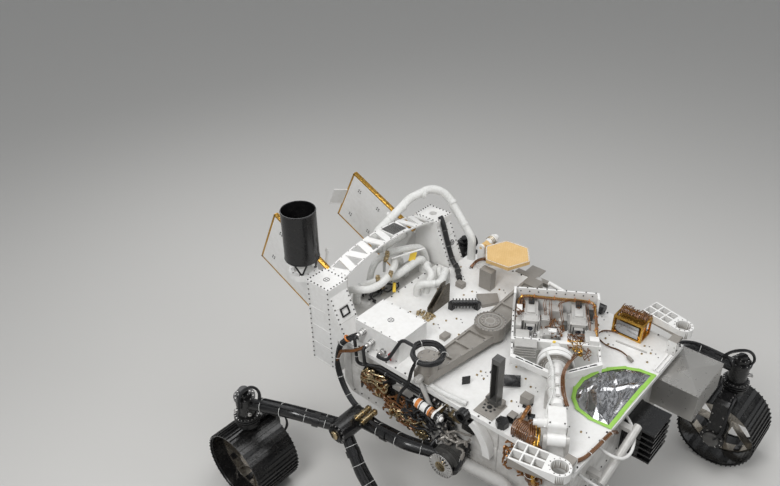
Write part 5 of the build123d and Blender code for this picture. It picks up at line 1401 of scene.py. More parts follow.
@dataclass
class FoilSheet(SubAssembly):
    """Crinkled foil over the round opening, held down by green tape."""

    outline: tuple[tuple[float, float], ...] = (
        (868, -208), (750, -220), (655, -198), (592, -140), (556, -60), (552, 50), (582, 150), (630, 232),
        (700, 305), (780, 342), (868, 352))
    # Middle of the foil, its lift over the deck in millimetres, and its size before it is cut
    middle: tuple[float, float] = (714.0, 59.0)
    lift: float = 3.5
    size: Triple = (0.36, 0.66, 1.0)
    cells: tuple[int, int] = (110, 190)
    film: float = 0.0004
    tape: float = 0.024
    # Height of the folds, where along a fold its crest lies, and the least height of the film
    relief: float = 0.006
    crest: float = 0.62
    ground: float = 0.003
    least: float = 0.0008
    # Turns to a metre and strength of the folds' slow bend and of their wander
    bend: tuple[float, float] = (4.0, 0.035)
    wander: tuple[float, float] = (5.0, 0.45)
    crease_count: int = 34
    # Turn in radians, folds to a metre and share of the relief of each family of folds
    folds: tuple[Triple, ...] = ((0.42, 11.0, 0.4), (0.12, 7.0, 0.3), (0.85, 8.5, 0.3))
    creases: list[tuple[Vector, Vector, float, float, float]] = field(default_factory=list)

    @property
    def corners(self) -> list[Vector]:
        """Corners of the outline on the deck."""
        return [mm(x, y, DECK_HEIGHT) for x, y in self.outline]

    def build(self) -> None:
        """Makes the foil and its border."""
        self._crease()
        foil = self._foil()
        tape = self._tape()

    def _crease(self) -> None:
        """Draws the place, direction, half length, half width and rise of each sharp crease."""
        for _ in range(self.crease_count):
            middle = mm(self.chance.uniform(560, 860), self.chance.uniform(-190, 330), 0)
            lean = self.chance.gauss(-0.3, 0.36)
            along = Vector((math.sin(lean), math.cos(lean), 0))
            rise = self.chance.choice((-1, 1, 1)) * self.chance.uniform(0.0027, 0.010125)
            half_length = self.chance.uniform(0.12, 0.36)
            half_width = self.chance.uniform(0.016, 0.055)
            self.creases.append((middle, along, half_length, half_width, rise))

    def _height(self, x: float, y: float) -> float:
        """Height of the film over the deck: low folds, and sharp creases of their own length and width.

        Args:
            x: Place along the model in metres.
            y: Place across the model in metres.

        Returns:
            The height in metres.
        """
        pace, reach = self.bend
        bend = noise.noise(Vector((x * pace, y * pace, 0.3))) * reach
        pace, strength = self.wander
        height = 0.0
        for turn, pitch, share in self.folds:
            across = (x + bend) * math.cos(turn) + y * math.sin(turn)
            wander = noise.noise(Vector((x * pace, y * pace, pitch))) * strength
            phase = (across * pitch + wander) % 1.0
            height += share * min(phase / self.crest, (1 - phase) / (1 - self.crest))
        height *= self.relief
        for middle, along, reach, breadth, rise in self.creases:
            away = Vector((x - middle.x, y - middle.y, 0))
            run = away.dot(along) / reach
            off = abs(away.x * along.y - away.y * along.x) / breadth
            if abs(run) < 1 and off < 1:
                height += rise * (1 - off) * (1 - run * run)
        return max(self.least, height + self.ground)

    def _foil(self) -> bpy.types.Object:
        """Grid cut to the outline and creased."""
        Bench.clear()
        bpy.ops.mesh.primitive_grid_add(
            x_subdivisions=self.cells[0], y_subdivisions=self.cells[1], size=1,
            location=mm(*self.middle, DECK_HEIGHT + self.lift))
        sheet = bpy.context.object
        sheet.scale = self.size
        Bench.apply(sheet)
        middle = mm(*self.middle, DECK_HEIGHT)
        bpy.ops.object.mode_set(mode="EDIT")
        for near, far in closed(self.corners):
            normal = (far - near).cross(UP).normalized()
            if normal.dot(near - middle) < 0:
                normal = -normal
            bpy.ops.mesh.select_all(action="SELECT")
            bpy.ops.mesh.bisect(plane_co=near, plane_no=normal, clear_outer=True)
        bpy.ops.object.mode_set(mode="OBJECT")
        sides = closed(self.corners)
        for vertex in sheet.data.vertices:
            inset = self._inset(vertex.co, sides)
            rise = max(0.0, min(1.0, (inset - self.tape * 0.7) / 0.03))
            vertex.co.z += self._height(vertex.co.x, vertex.co.y) * rise
        solidify = sheet.modifiers.new("film", "SOLIDIFY")
        solidify.thickness = self.film
        bpy.ops.object.modifier_apply(modifier="film")
        self.bench.settle(sheet, "opening_foil", FOIL, smooth=5.0)
        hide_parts("foil_cover")
        return sheet

    @staticmethod
    def _inset(point: Vector, sides: Sequence[tuple[Vector, Vector]]) -> float:
        """Distance of a point from the outline's nearest side.

        Args:
            point: The point.
            sides: Start and end of each side.

        Returns:
            The distance in metres.
        """
        nearest = 1.0
        for near, far in sides:
            along = (far - near).normalized()
            flat = Vector((point.x - near.x, point.y - near.y, 0))
            nearest = min(nearest, (flat - along * flat.dot(along)).length)
        return nearest

    def _tape(self) -> bpy.types.Object:
        """Strips of tape laid over the foil's edges, a little askew."""
        strips = []
        middle = mm(*self.middle, DECK_HEIGHT)
        for near, far in closed(self.corners):
            run = far - near
            count = max(1, round(run.length / 0.13))
            for index in range(count):
                layer = len(strips) % 4
                start = near.lerp(far, index / count)
                end = near.lerp(far, (index + 1) / count)
                centre = (start + end) / 2
                centre += (middle - centre).normalized() * 0.010
                turn = math.atan2(run.y, run.x) + self.chance.uniform(-0.03, 0.03)
                centre.z += 0.0045 + 0.0011 * layer
                strip = Bench.block(
                    centre, ((end - start).length + 0.022, self.tape, 0.0008),
                    Matrix.Rotation(turn, 3, "Z"), 0.0002)
                strips.append(strip)
        return self.fit(strips, "foil_tape", GREEN)


@dataclass
class Mast(SubAssembly):
    """Harness, lenses, screws and plugs of the folded mast.

    Places are along, across and up from its hinge.
    """

    hinge: Triple = (727.0, -554.0, 1200.0)
    heading: Triple = (-0.53, 0.85, 0.0)

    def at(self, along: float, across: float, up: float) -> Vector:
        """Point in the mast's own frame, in millimetres."""
        return mm(*self.hinge) + (self.ahead * along + self.side * across + UP * up) / 1000

    def line(self, *places: Triple) -> list[Vector]:
        """Points of a route in the mast's own frame, from their places in millimetres."""
        return [self.at(*place) for place in places]

    @property
    def ahead(self) -> Vector:
        """Direction from the hinge to the head."""
        return Vector(self.heading).normalized()

    @property
    def side(self) -> Vector:
        """Direction across the mast."""
        return UP.cross(self.ahead)

    @property
    def turn(self) -> Matrix:
        """Rotation from the model's own frame to the mast's."""
        return Matrix((self.ahead, self.side, UP)).transposed()

    def build(self) -> None:
        """Dresses the mast."""
        self._screws()
        self._cameras()
        self._harness()
        self._drum()
        self._electronics()

    def _screws(self) -> None:
        """Screws of the housing, the rails and the end plate."""
        places = []
        for along in (30, 160):
            for across in (-38, 38):
                places.append((self.at(along + 8, across, 85), UP))
        for across in (-255, 255):
            for along in range(580, 1050, 52):
                places.append((self.at(along, across, 60), UP))
        for across in range(-240, 241, 60):
            places.append((self.at(1062, across, 200), UP))
        for across in range(-220, 221, 55):
            for up in (40, 180):
                places.append((self.at(1056, across, up), -self.ahead))
        for across in range(-240, 241, 48):
            if abs(across) > 60:
                places.append((self.at(700, across, 86), UP))
        self.screws("mast_screws", places, 0.0042, SCREW, "mast")
        plate = []
        for across in range(-230, 231, 46):
            for up in (36, 184):
                plate.append((self.at(1068, across, up), self.ahead))
        self.screws("mast_rear_screws", plate, 0.0045, STEEL, "mast")

    def _cameras(self) -> None:
        """Lens, bezel and lid screws of each camera, and of the small boxes."""
        glass = []
        bezels = []
        shades = []
        shelves = []
        lids = []
        for across in (150, -138):
            face = self.at(841, across, 58)
            shades.append((self.at(843, across, 56), (0.004, 0.066, 0.070), self.turn))
            shelves.append((self.at(900, across, 110), (0.110, 0.104, 0.004), self.turn))
            for edge in (-52, 52):
                shelves.append((self.at(880, across + edge, 60), (0.050, 0.006, 0.110), self.turn))
            glass.append(Bench.drum(face, face - self.ahead * 0.006, 0.017, 28, 0.002))
            bezels.append(Bench.ring(face - self.ahead * 0.004, self.ahead, 0.020, 0.003, 28, 8))
            for along in (880, 1020):
                for edge in (-34, 34):
                    lids.append((self.at(along, across + edge, 132), UP))
            shelves.append((self.at(950, across, 136), (0.110, 0.050, 0.008), self.turn))
            shades.append((self.at(1000, across, 146), (0.050, 0.036, 0.022), self.turn))
        self.plates("camera_shades", shades, BLACK, "mast", slot="dark_grey")
        self.plates("camera_shelves", shelves, PALE_METAL, "mast")
        self.fit(glass, "camera_lenses", LENS, "mast")
        self.fit(bezels, "camera_bezels", WHITE, "mast")
        for along, across, width, length, top in (
                (910, 60, 50, 60, 98), (800, 50, 50, 60, 74), (800, -205, 60, 70, 88),
                (980, 0, 60, 70, 124)):
            for edge in (-1, 1):
                for end in (-1, 1):
                    corner = (along + end * (length / 2 - 8), across + edge * (width / 2 - 8), top)
                    lids.append((self.at(*corner), UP))
        self.screws("camera_screws", lids, 0.0035, STEEL, "mast")

    def _harness(self) -> None:
        """Brown bundle round the head's rim and wires down to the units."""
        rim = self.line(
            (1000, 236, 60), (1026, 226, 150), (1034, 190, 158), (1036, 80, 152),
            (1034, -60, 156), (1036, -170, 152), (1030, -232, 148),
            (980, -240, 128), (880, -244, 104), (780, -244, 96), (715, -240, 80),
            (700, -236, 44))
        self.bundle("rim_harness", rim, 0.0085, 7, 0.0036, COPPER_WIRE, "mast")
        self.bundle("rim_film", rim, 0.0095, 3, 0.0030, FILM, "mast")
        self.ties("rim_ties", middles(rim)[1:-1], 0.0130, ORANGE, "mast")
        drops = (
            (-150, 960, -138, 132), (-95, 990, -20, 124), (60, 930, 60, 98), (150, 970, 150, 132),
            (-190, 830, -205, 88), (30, 860, 20, 60), (205, 900, 214, 60), (-30, 880, -50, 50))
        routes = []
        for across, to_along, to_across, to_up in drops:
            middle = self.at((1034 + to_along) / 2, (across + to_across) / 2 + 14, max(150, to_up + 26))
            for shift in (-4, 4):
                offset = self.side * shift / 1000
                routes.append([
                    self.at(1034, across, 152) + offset, middle + offset * 2,
                    self.at(to_along + 12, to_across, to_up + 20) + offset,
                    self.at(to_along, to_across, to_up) + offset])
        self.bench.settle(Bench.cables(routes, 0.0021), "head_wires", COPPER_WIRE, "mast")
        frame = Matrix.Translation(self.at(0, 0, 0)) @ self.turn.to_4x4()
        for name, low, high, count, finish in (
                ("cone_nest", (0.610, -0.205, 0.030), (0.790, -0.070, 0.085), 34, COPPER_WIRE),
                ("cone_film", (0.620, -0.150, 0.040), (0.720, -0.070, 0.090), 16, FILM),
                ("corner_nest", (0.900, 0.190, 0.030), (1.030, 0.240, 0.140), 20, COPPER_WIRE),
                ("middle_nest", (0.800, -0.060, 0.030), (0.960, 0.090, 0.070), 18, BROWN_FILM)):
            self.nest(name, Vector(low), Vector(high), count, 0.0026, finish, "mast", frame=frame)
        spine = self.line(
            (60, 58, 20), (150, 56, 66), (210, 22, 112), (300, 26, 110),
            (400, 24, 112), (470, 30, 114), (512, 60, 158))
        self.bundle("mast_spine_wires", spine, 0.008, 5, 0.004, WRAP, "mast")
        self.ties("spine_ties", middles(spine)[1:-1], 0.014, TIE, "mast")
        other = self.line(
            (170, -52, 84), (230, -34, 102), (300, -30, 106), (400, -34, 104),
            (478, -66, 128), (530, -100, 128), (600, -116, 76), (640, -120, 50))
        self.bundle("mast_brown_wires", other, 0.010, 5, 0.0034, COPPER_WIRE, "mast")

    def _drum(self) -> None:
        """Face rings and bolts of the drum, and clamps on the tube."""
        face = self.at(497, 0, 60)
        rings = [
            Bench.ring(face, self.ahead, 0.100, 0.003, 56, 6),
            Bench.ring(face, self.ahead, 0.070, 0.002, 48, 6),
            Bench.ring(self.at(531, 0, 60), self.ahead, 0.106, 0.0028, 56, 6)]
        for along in (215, 300, 385):
            rings.append(Bench.ring(self.at(along, 0, 60), self.ahead, 0.049, 0.003, 36, 6))
            rings.append(Bench.block(self.at(along, 0, 112), (0.016, 0.02, 0.012), self.turn, 0.002))
        self.fit(rings, "mast_rings", BARE, "mast")
        disc = Bench.drum(self.at(497, 0, 60), self.at(500.5, 0, 60), 0.100, 56, 0.001)
        self.bench.settle(disc, "drum_face", TAUPE, "mast")
        slots = []
        for edge in (-1, 1):
            lean = Matrix.Rotation(edge * math.atan2(216, 112), 3, "Z")
            for share in (0.26, 0.52, 0.78):
                place = self.at(437 + 112 * share, edge * (43 + 212 * share), 80.3)
                slots.append((place, (0.046, 0.009, 0.0008), self.turn @ lean))
        self.plates("arm_slots", slots, MARK, "mast", slot="dark_grey", bevel=0.0002)
        bolts = with_normal(circle(face, self.ahead, 0.086, 18), -self.ahead)
        self.screws("drum_bolts", bolts, 0.0042, STEEL, "mast")

    def _electronics(self) -> None:
        """Plugs, small cards and clips between the cameras."""
        feet = self.line(
            (770, 150, 28), (730, 150, 28), (730, 200, 28), (790, 120, 28), (1020, 70, 28),
            (1020, -60, 28), (960, 220, 28), (940, -225, 28), (800, -20, 28), (830, -90, 28))
        self.plugs("head_plugs", with_normal(feet, UP), 0.012, 0.030, STEEL, "mast")
        for name, finish, blocks in (
                ("head_cards", DARK, (
                    (860, 10, 0.060, 0.050, 0.018), (900, -60, 0.040, 0.030, 0.050),
                    (760, 0, 0.050, 0.070, 0.016), (1020, -215, 0.040, 0.040, 0.060))),
                ("head_boxes", PALE_METAL, (
                    (1000, 50, 0.050, 0.080, 0.034), (960, -48, 0.090, 0.050, 0.046),
                    (762, 196, 0.070, 0.080, 0.050), (752, -206, 0.080, 0.070, 0.070),
                    (850, 222, 0.080, 0.034, 0.070), (1006, -180, 0.050, 0.056, 0.048),
                    (800, 70, 0.060, 0.040, 0.034), (880, -218, 0.070, 0.040, 0.044))),
                ("head_white_boxes", WHITE, (
                    (940, 222, 0.060, 0.036, 0.110), (715, -222, 0.044, 0.056, 0.092),
                    (1024, 0, 0.034, 0.100, 0.066), (820, 16, 0.034, 0.050, 0.048)))):
            self.plates(name, [
                (self.at(along, across, 28 + height * 500), (length, width, height), self.turn)
                for along, across, length, width, height in blocks], finish, "mast")
        spot = Bench.drum(self.at(652, 12, 118), self.at(652, 14, 124), 0.010, 18, 0.001)
        self.bench.settle(spot, "cone_plug", YELLOW, "mast")


@dataclass
class Antennas(SubAssembly):
    """Rim screws and wiring of the flat antenna, and the can's rim."""

    # Radius of the flat antenna's corners in metres and turn of the first in degrees
    rim_radius: float = 0.167
    rim_turn: float = 6.0
    # The can's axis
    can: tuple[float, float] = (-1195.0, -540.0)

    def build(self) -> None:
        """Dresses both antennas."""
        centre = mm(-375, 612, 1307)
        rim = [self._corner(centre, index) for index in range(6)]
        screws = []
        for near, far in closed(rim):
            screws += with_normal(row(near, far, 6)[:-1], UP)
        self.screws("antenna_rim_screws", screws, 0.0028, STEEL, "antenna")
        frame = []
        for near, far in closed(rim):
            middle = (near + far) / 2 + UP * 0.0015
            turn = math.atan2(far.y - near.y, far.x - near.x)
            frame.append(Bench.block(
                middle, ((far - near).length + 0.006, 0.008, 0.003), Matrix.Rotation(turn, 3, "Z"), 0.0008))
        self.fit(frame, "antenna_rim", WHITE, "antenna")
        wires = line(
            (-560, 700, 1112), (-530, 640, 1150), (-555, 600, 1200), (-600, 590, 1170),
            (-640, 610, 1125), (-640, 560, 1108))
        self.bundle("antenna_wires", wires, 0.010, 6, 0.0036, COPPER_WIRE)
        bands = [
            Bench.ring(mm(-600, y, 1262), PORT, 0.031, 0.003, 32, 6) for y in (720, 734, 748)]
        self.fit(bands, "antenna_drive_bands", BRASS)
        rings = [
            Bench.ring(mm(*self.can, 1870), UP, 0.1115, 0.0035, 64, 8),
            Bench.ring(mm(*self.can, 1527), UP, 0.1125, 0.003, 64, 8)]
        self.fit(rings, "can_rings", BLACK)
        bolts = with_normal(circle(mm(*self.can, 1428), UP, 0.0785, 9), UP)
        self.screws("can_ring_bolts", bolts, 0.005, STEEL)

    def _corner(self, centre: Vector, index: int) -> Vector:
        """Corner of the antenna's rim."""
        turn = math.radians(self.rim_turn + 60 * index)
        return centre + Vector((math.cos(turn), math.sin(turn), 0)) * self.rim_radius


@dataclass
class Towers(SubAssembly):
    """Screws, seams and strip of the rear towers, the truss and the exchanger plates."""

    # Middle of a tower across the vehicle, and the ends of its slope along and up
    tower_y: float = 540.0
    slope_top: tuple[float, float] = (-880.0, 1378.0)
    slope_foot: tuple[float, float] = (-760.0, 1100.0)
    # Rise of the truss's arch and half its span
    arch_rise: float = 72.0
    arch_reach: float = 454.0

    def build(self) -> None:
        """Dresses the rear of the vehicle."""
        self._screws()
        self._strip()
        self._truss()
        self._plates()
        self._pipes()

    def _screws(self) -> None:
        """Screws round the towers' tops, slopes and walls."""
        places = []
        fall = self.slope_top[1] - self.slope_foot[1]
        run = self.slope_foot[0] - self.slope_top[0]
        slope = Vector((fall, 0, run)).normalized()
        for side in (-1, 1):
            middle = side * self.tower_y
            for y in (middle - 78, middle + 78):
                places += with_normal(row(mm(-1070, y, 1440), mm(-890, y, 1440), 7), UP)
            for x in (-1072, -888):
                places += with_normal(row(mm(x, middle - 52, 1440), mm(x, middle + 52, 1440), 5), UP)
            for y in (middle - 70, middle + 70):
                places += with_normal(row(mm(-873, y, 1362), mm(-768, y, 1118), 9), slope)
                places += with_normal(row(mm(-1080, y, 820), mm(-1080, y, 1400), 15), -AHEAD)
            for x in (-1068, -892):
                places += with_normal(row(mm(x, side * 620, 815), mm(x, side * 620, 1410), 16), PORT * side)
        self.screws("tower_screws", places, 0.0048, SCREW)
        turn = slope.to_track_quat("X", "Z").to_matrix()
        seams = []
        for side in (-1, 1):
            for share in (0.3, 0.62):
                x = self.slope_top[0] + run * share
                z = self.slope_top[1] - fall * share
                place = mm(x, side * self.tower_y, z)
                seams.append(Bench.block(place, (0.0025, 0.158, 0.003), turn, 0.0006))
        self.fit(seams, "tower_seams", WALL_WHITE)
        centre = mm(-832, -540, 1262) + slope * 0.006
        bars = []
        for side in (-1, 1):
            bars.append((centre + turn @ Vector((0, side * 0.030, 0)), (0.010, 0.009, 0.062), turn))
            bars.append((centre + turn @ Vector((0, 0, side * 0.026)), (0.010, 0.060, 0.009), turn))
        self.plates("tower_bracket", bars, BLACK, slot="dark_grey")

    def _strip(self) -> None:
        """Black ducted cable down the port tower's slope, with its elbow on the deck."""
        route = line(
            (-902, 520, 1452), (-872, 518, 1420), (-830, 510, 1300), (-790, 505, 1196),
            (-752, 498, 1128), (-700, 480, 1118), (-650, 420, 1117), (-600, 372, 1117))
        duct = Bench.cable(route, 0.019, 3)
        self.bench.settle(duct, "tower_duct", JACKET)
        clamps = [
            Bench.ring(centre, direction, 0.0205, 0.003, 24, 6)
            for centre, direction in middles(route)[1:]]
        self.fit(clamps, "duct_clamps", DARK)

    def _truss(self) -> None:
        """Bolts at the truss's ends and gauze on its plate."""
        places = []
        for side in (-1, 1):
            for x in (-1045, -1015, -945, -915):
                places.append((mm(x, side * 438, 1447), UP))
        for index in range(-6, 7):
            y = index * 66
            rise = self.arch_rise * (1 - (y / self.arch_reach) ** 2) + 12
            for x in (-1050, -910):
                places.append((mm(x, y, 1428 + rise - 0.8), UP))
        self.screws("truss_bolts", places, 0.0042, STEEL)
        middle = mm(-980, 110, 1513)
        tilt = Matrix.Rotation(-math.atan2(2 * self.arch_rise * 110, self.arch_reach ** 2), 3, "X")
        gauze = []
        for index in range(-6, 7):
            gauze.append(Bench.block(
                middle + tilt @ Vector((0.0, index * 0.0105, 0)), (0.112, 0.003, 0.003), tilt))
            gauze.append(Bench.block(
                middle + tilt @ Vector((index * 0.0088, 0, 0)), (0.003, 0.132, 0.003), tilt))
        self.fit(gauze, "truss_gauze", DARK)

    def _plates(self) -> None:
        """Gold film round the exchanger plates' edges, and their screws."""
        lean = math.radians(25.5)
        along = Vector((math.cos(lean), 0, -math.sin(lean)))
        up = Vector((math.sin(lean), 0, math.cos(lean)))
        strips = []
        screws = []
        turn = Matrix((along, PORT, up)).transposed()
        for side in (-1, 1):
            corner = mm(-1810, side * 375, 1200)
            middle_y = PORT * side * 0.016
            for centre, size in (
                    (corner + along * 0.320 + up * 0.463 + middle_y, (0.640, 0.0345, 0.015)),
                    (corner + along * 0.320 + up * 0.007 + middle_y, (0.640, 0.0345, 0.015)),
                    (corner + along * 0.0075 + up * 0.235 + middle_y, (0.016, 0.0345, 0.470))):
                strips.append(Bench.block(centre, size, turn, 0.002))
            outward = PORT * side
            for across in (0.10, 0.30, 0.50):
                for rise in (0.10, 0.36):
                    for dx, dz in ((0, 0), (0.018, 0), (0, 0.018), (0.018, 0.018)):
                        spot = corner + along * (across + dx) + up * (rise + dz)
                        screws.append((spot, -outward))
                        screws.append((spot + outward * 0.032, outward))
        self.fit(strips, "plate_edge_film", FILM)
        self.screws("plate_screws", screws, 0.0042, SCREW)

    def _pipes(self) -> None:
        """Tape bands round the wrapped pipes, clips and blank tags."""
        bands = []
        routes = (
            (line((-1010, -250, 1130), (-1000, -220, 1190), (-960, -90, 1193), (-915, 30, 1190),
              (-903, 160, 1195), (-901, 300, 1196), (-900, 330, 1130)), 0.030),
            (line((-680, 320, 1140), (-672, 300, 1203), (-640, 235, 1202), (-620, 130, 1203),
              (-700, 85, 1194), (-730, 60, 1140)), 0.028),
            (line((-1115, 330, 1290), (-1115, 150, 1290), (-1112, 66, 1340), (-1106, 200, 1488),
              (-1102, 330, 1535), (-1070, 520, 1578), (-930, 690, 1496), (-800, 674, 1365),
              (-715, 665, 1180)), 0.0325))
        for points, radius in routes:
            for near, far in zip(points, points[1:]):
                direction = (far - near).normalized()
                bands.append(Bench.drum(near, near + direction * 0.024, radius, 24, 0.0015))
        self.fit(bands, "pipe_bands", TIE, slot="wrap")
        pipes = [
            Bench.cable(route, radius, 4) for route, radius in (
                (line((-1030, -330, 1150), (-1023, -330, 1238), (-880, -262, 1240), (-866, -110, 1244),
                  (-930, 70, 1262), (-1010, 130, 1240), (-1015, 210, 1180)), 0.026),
                (line((-1050, -80, 1120), (-1050, -60, 1250), (-1040, 60, 1300), (-960, 230, 1306),
                  (-930, 380, 1250), (-925, 400, 1120)), 0.024),
                (line((-820, 300, 1098), (-818, 290, 1210), (-780, 215, 1228), (-700, 190, 1220),
                  (-690, 130, 1190), (-700, 120, 1098)), 0.024),
                (line((-760, 350, 1098), (-755, 330, 1180), (-700, 260, 1188), (-660, 250, 1098)), 0.022))]
        self.fit(pipes, "rear_pipes", WRAP)
        rods = [
            Bench.drum(mm(-960, 60, 1300), mm(-840, 270, 1330), 0.006, 12),
            Bench.drum(mm(-1090, -280, 1100), mm(-1070, -270, 1330), 0.011, 16, 0.002),
            Bench.drum(mm(-1090, 120, 1100), mm(-1080, 118, 1360), 0.011, 16, 0.002)]
        self.fit(rods, "tray_rods", WHITE)
        self.plugs("tray_valves", [
            (mm(-985, 20, 1290), UP + AHEAD * 0.4), (mm(-1000, 60, 1296), UP), (mm(-900, -150, 1250), UP),
            (mm(-870, -60, 1250), UP + PORT * 0.3), (mm(-1060, -180, 1085), UP), (mm(-960, -40, 1085), UP)],
                   0.015, 0.045, BRASS)
        # Black wires in the tray stand in for the shade in the gaps between the pipes: painted shade
        self.nest("tray_shade_wires", mm(-1050, -180, 1084), mm(-900, 60, 1130), 20, 0.006, JACKET)
        tags = [
            Bench.block(mm(-930, 250, 1232), (0.05, 0.075, 0.0016),
                             Matrix.Rotation(0.5, 3, "X") @ Matrix.Rotation(0.4, 3, "Z"), 0.0004),
            Bench.block(
                mm(-860, -30, 1150), (0.022, 0.10, 0.012), Matrix.Rotation(0.7, 3, "Z"), 0.002)]
        self.fit(tags, "pipe_tags", YELLOW)


@dataclass
class StarboardWall(SubAssembly):
    """Plugs, bundles and bands crowded under the starboard edge of the deck."""

    def build(self) -> None:
        """Fills the bay under the deck's edge."""
        self._panel_screws()
        self._plugs()
        self._nest()
        self._cable_ties()

    def _panel_screws(self) -> None:
        """Rows of screws and seams on both side walls, the nose and the tail."""
        places = []
        for side in (-1, 1):
            outward = PORT * side
            y = side * HALF_WIDTH
            for z in (670, 1050):
                for start, end, count in ((-740, -40, 12), (400, 740, 7)):
                    places += with_normal(row(mm(start, y, z), mm(end, y, z), count), outward)
        for z in (760, 1050):
            places += with_normal(row(mm(850, -540, z), mm(850, 0, z), 10), AHEAD)
            places += with_normal(row(mm(-830, -440, z), mm(-830, 440, z), 14), -AHEAD)
        for y in (-440, -220, 0, 220, 440):
            places += with_normal(row(mm(-830, y, 720), mm(-830, y, 1020), 6), -AHEAD)
        for x in (-700, -350, 0, 350, 700):
            places += with_normal(row(mm(x, -540, 640), mm(x, 540, 640), 12), -UP)
        self.screws("wall_screws", places, 0.0052, SCREW)
        seams = []
        for side in (-1, 1):
            for x in (-760, -60, 390):
                seams.append(Bench.block(
                    mm(x, side * (HALF_WIDTH + 0.6), 860), (0.006, 0.0024, 0.36), None, 0.0008))
        for y in (-220, 220):
            seams.append(Bench.block(mm(-830.6, y, 870), (0.0024, 0.006, 0.34), None, 0.0008))
        self.fit(seams, "wall_seams", BARE)

    def _plugs(self) -> None:
        """Black connector plates on the wall and the brass plugs in them."""
        tip = Matrix.Rotation(0.35, 3, "X")
        self.plates("bay_backing", [
            (mm(-500, -580, 895), (0.240, 0.010, 0.160), None),
            (mm(-290, -603, 820), (0.300, 0.008, 0.200), None),
            (mm(-60, -603, 900), (0.300, 0.008, 0.150), None),
        ], BLACK, slot="dark_grey")
        self.plates("connector_plates", [
            (mm(-612, -612, 890), (0.008, 0.090, 0.120), Matrix.Rotation(0.35, 3, "Z")),
            (mm(-392, -612, 928), (0.008, 0.090, 0.120), Matrix.Rotation(-0.45, 3, "Z")),
            (mm(-255, -626, 792), (0.165, 0.010, 0.100), tip),
            (mm(-90, -640, 742), (0.120, 0.010, 0.100), tip),
            (mm(60, -618, 905), (0.110, 0.030, 0.070), None),
            (mm(210, -600, 990), (0.090, 0.030, 0.080), None),
        ], BLACK, slot="dark_grey")
        places = []
        for index in range(8):
            places.append((mm(-585 + 26 * index, -592, 950 - 34 * (index % 3)), -PORT + UP * 0.3))
            places.append((mm(-325 + 20 * index, -628, 812 - 34 * (index % 2)), -PORT + UP * 0.35))
            places.append((mm(-138 + 14 * index, -642, 764 - 30 * (index % 2)), -PORT + UP * 0.35))
        self.plugs("wall_plugs", places, 0.0105, 0.036, BRASS)
        steel = [mm(-40 + 30 * index, -600, 1050 - 16 * (index % 2)) for index in range(6)]
        self.plugs("edge_plugs", with_normal(steel, -PORT + AHEAD * 0.3), 0.009, 0.030, STEEL)

    def _nest(self) -> None:
        """Brown, gold and black wires that fill the bay between the plugs."""
        for name, low, high, count, wire, finish in (
                ("nest_rear", (-600, -655, 840), (-400, -590, 965), 46, 0.0062, COPPER_WIRE),
                ("nest_rear_gold", (-590, -662, 850), (-390, -600, 970), 26, 0.0056, BRASS),
                ("nest_middle", (-400, -670, 760), (-140, -606, 920), 54, 0.0062, COPPER_WIRE),
                ("nest_middle_gold", (-340, -678, 750), (-60, -640, 850), 26, 0.0056, BRASS),
                ("nest_black", (-230, -690, 800), (90, -606, 990), 44, 0.0066, JACKET),
                ("nest_grey", (60, -690, 800), (230, -606, 940), 14, 0.0070, TAUPE),
                ("nest_front", (470, -640, 880), (700, -590, 1060), 34, 0.0050, BROWN_FILM)):
            self.nest(name, mm(*low), mm(*high), count, wire, finish)
        fall = line(
            (-640, -622, 1218), (-690, -668, 1196), (-748, -694, 1110), (-768, -700, 960),
            (-700, -712, 815), (-600, -735, 748), (-500, -752, 752), (-455, -768, 780))
        self.bundle("valve_cables", fall, 0.015, 5, 0.0085, JACKET)
        branch = line(
            (-570, -622, 1170), (-610, -676, 1140), (-690, -690, 1110), (-742, -694, 1080),
            (-760, -698, 1000))
        self.bundle("branch_cables", branch, 0.010, 4, 0.0055, COPPER_WIRE)
        self.ties("valve_cable_ties", middles(fall)[1:-1], 0.0245)
        clip = Bench.ring(fall[1], fall[2] - fall[0], 0.0200, 0.0055, 28, 8)
        self.bench.settle(clip, "valve_cable_clip", ORANGE)

    def _cable_ties(self) -> None:
        """Ties and orange bands on the black cables from the box, and rings on the wall's cylinder."""
        places = [
            (mm(-636, -652, 1150), UP), (mm(-630, -652, 1080), UP), (mm(-440, -590, 996), AHEAD),
            (mm(-300, -590, 996), AHEAD), (mm(-160, -590, 996), AHEAD)]
        self.ties("box_cable_ties", places, 0.0128)
        near, far = mm(-110, -690, 1043), mm(66, -690, 1022)
        for name, finish, spans, slot in (
                ("cylinder_orange", ORANGE, ((0.03, 0.16), (0.55, 0.62)), ""),
                ("cylinder_black", BLACK, ((0.20, 0.24), (0.44, 0.52), (0.82, 0.98)), "black_jacket"),
                ("cylinder_brown", COPPER_WIRE, ((0.62, 0.74),), "")):
            bands = [
                Bench.drum(near.lerp(far, start), near.lerp(far, end), 0.0292, 32, 0.0006)
                for start, end in spans]
            self.fit(bands, name, finish, slot=slot)


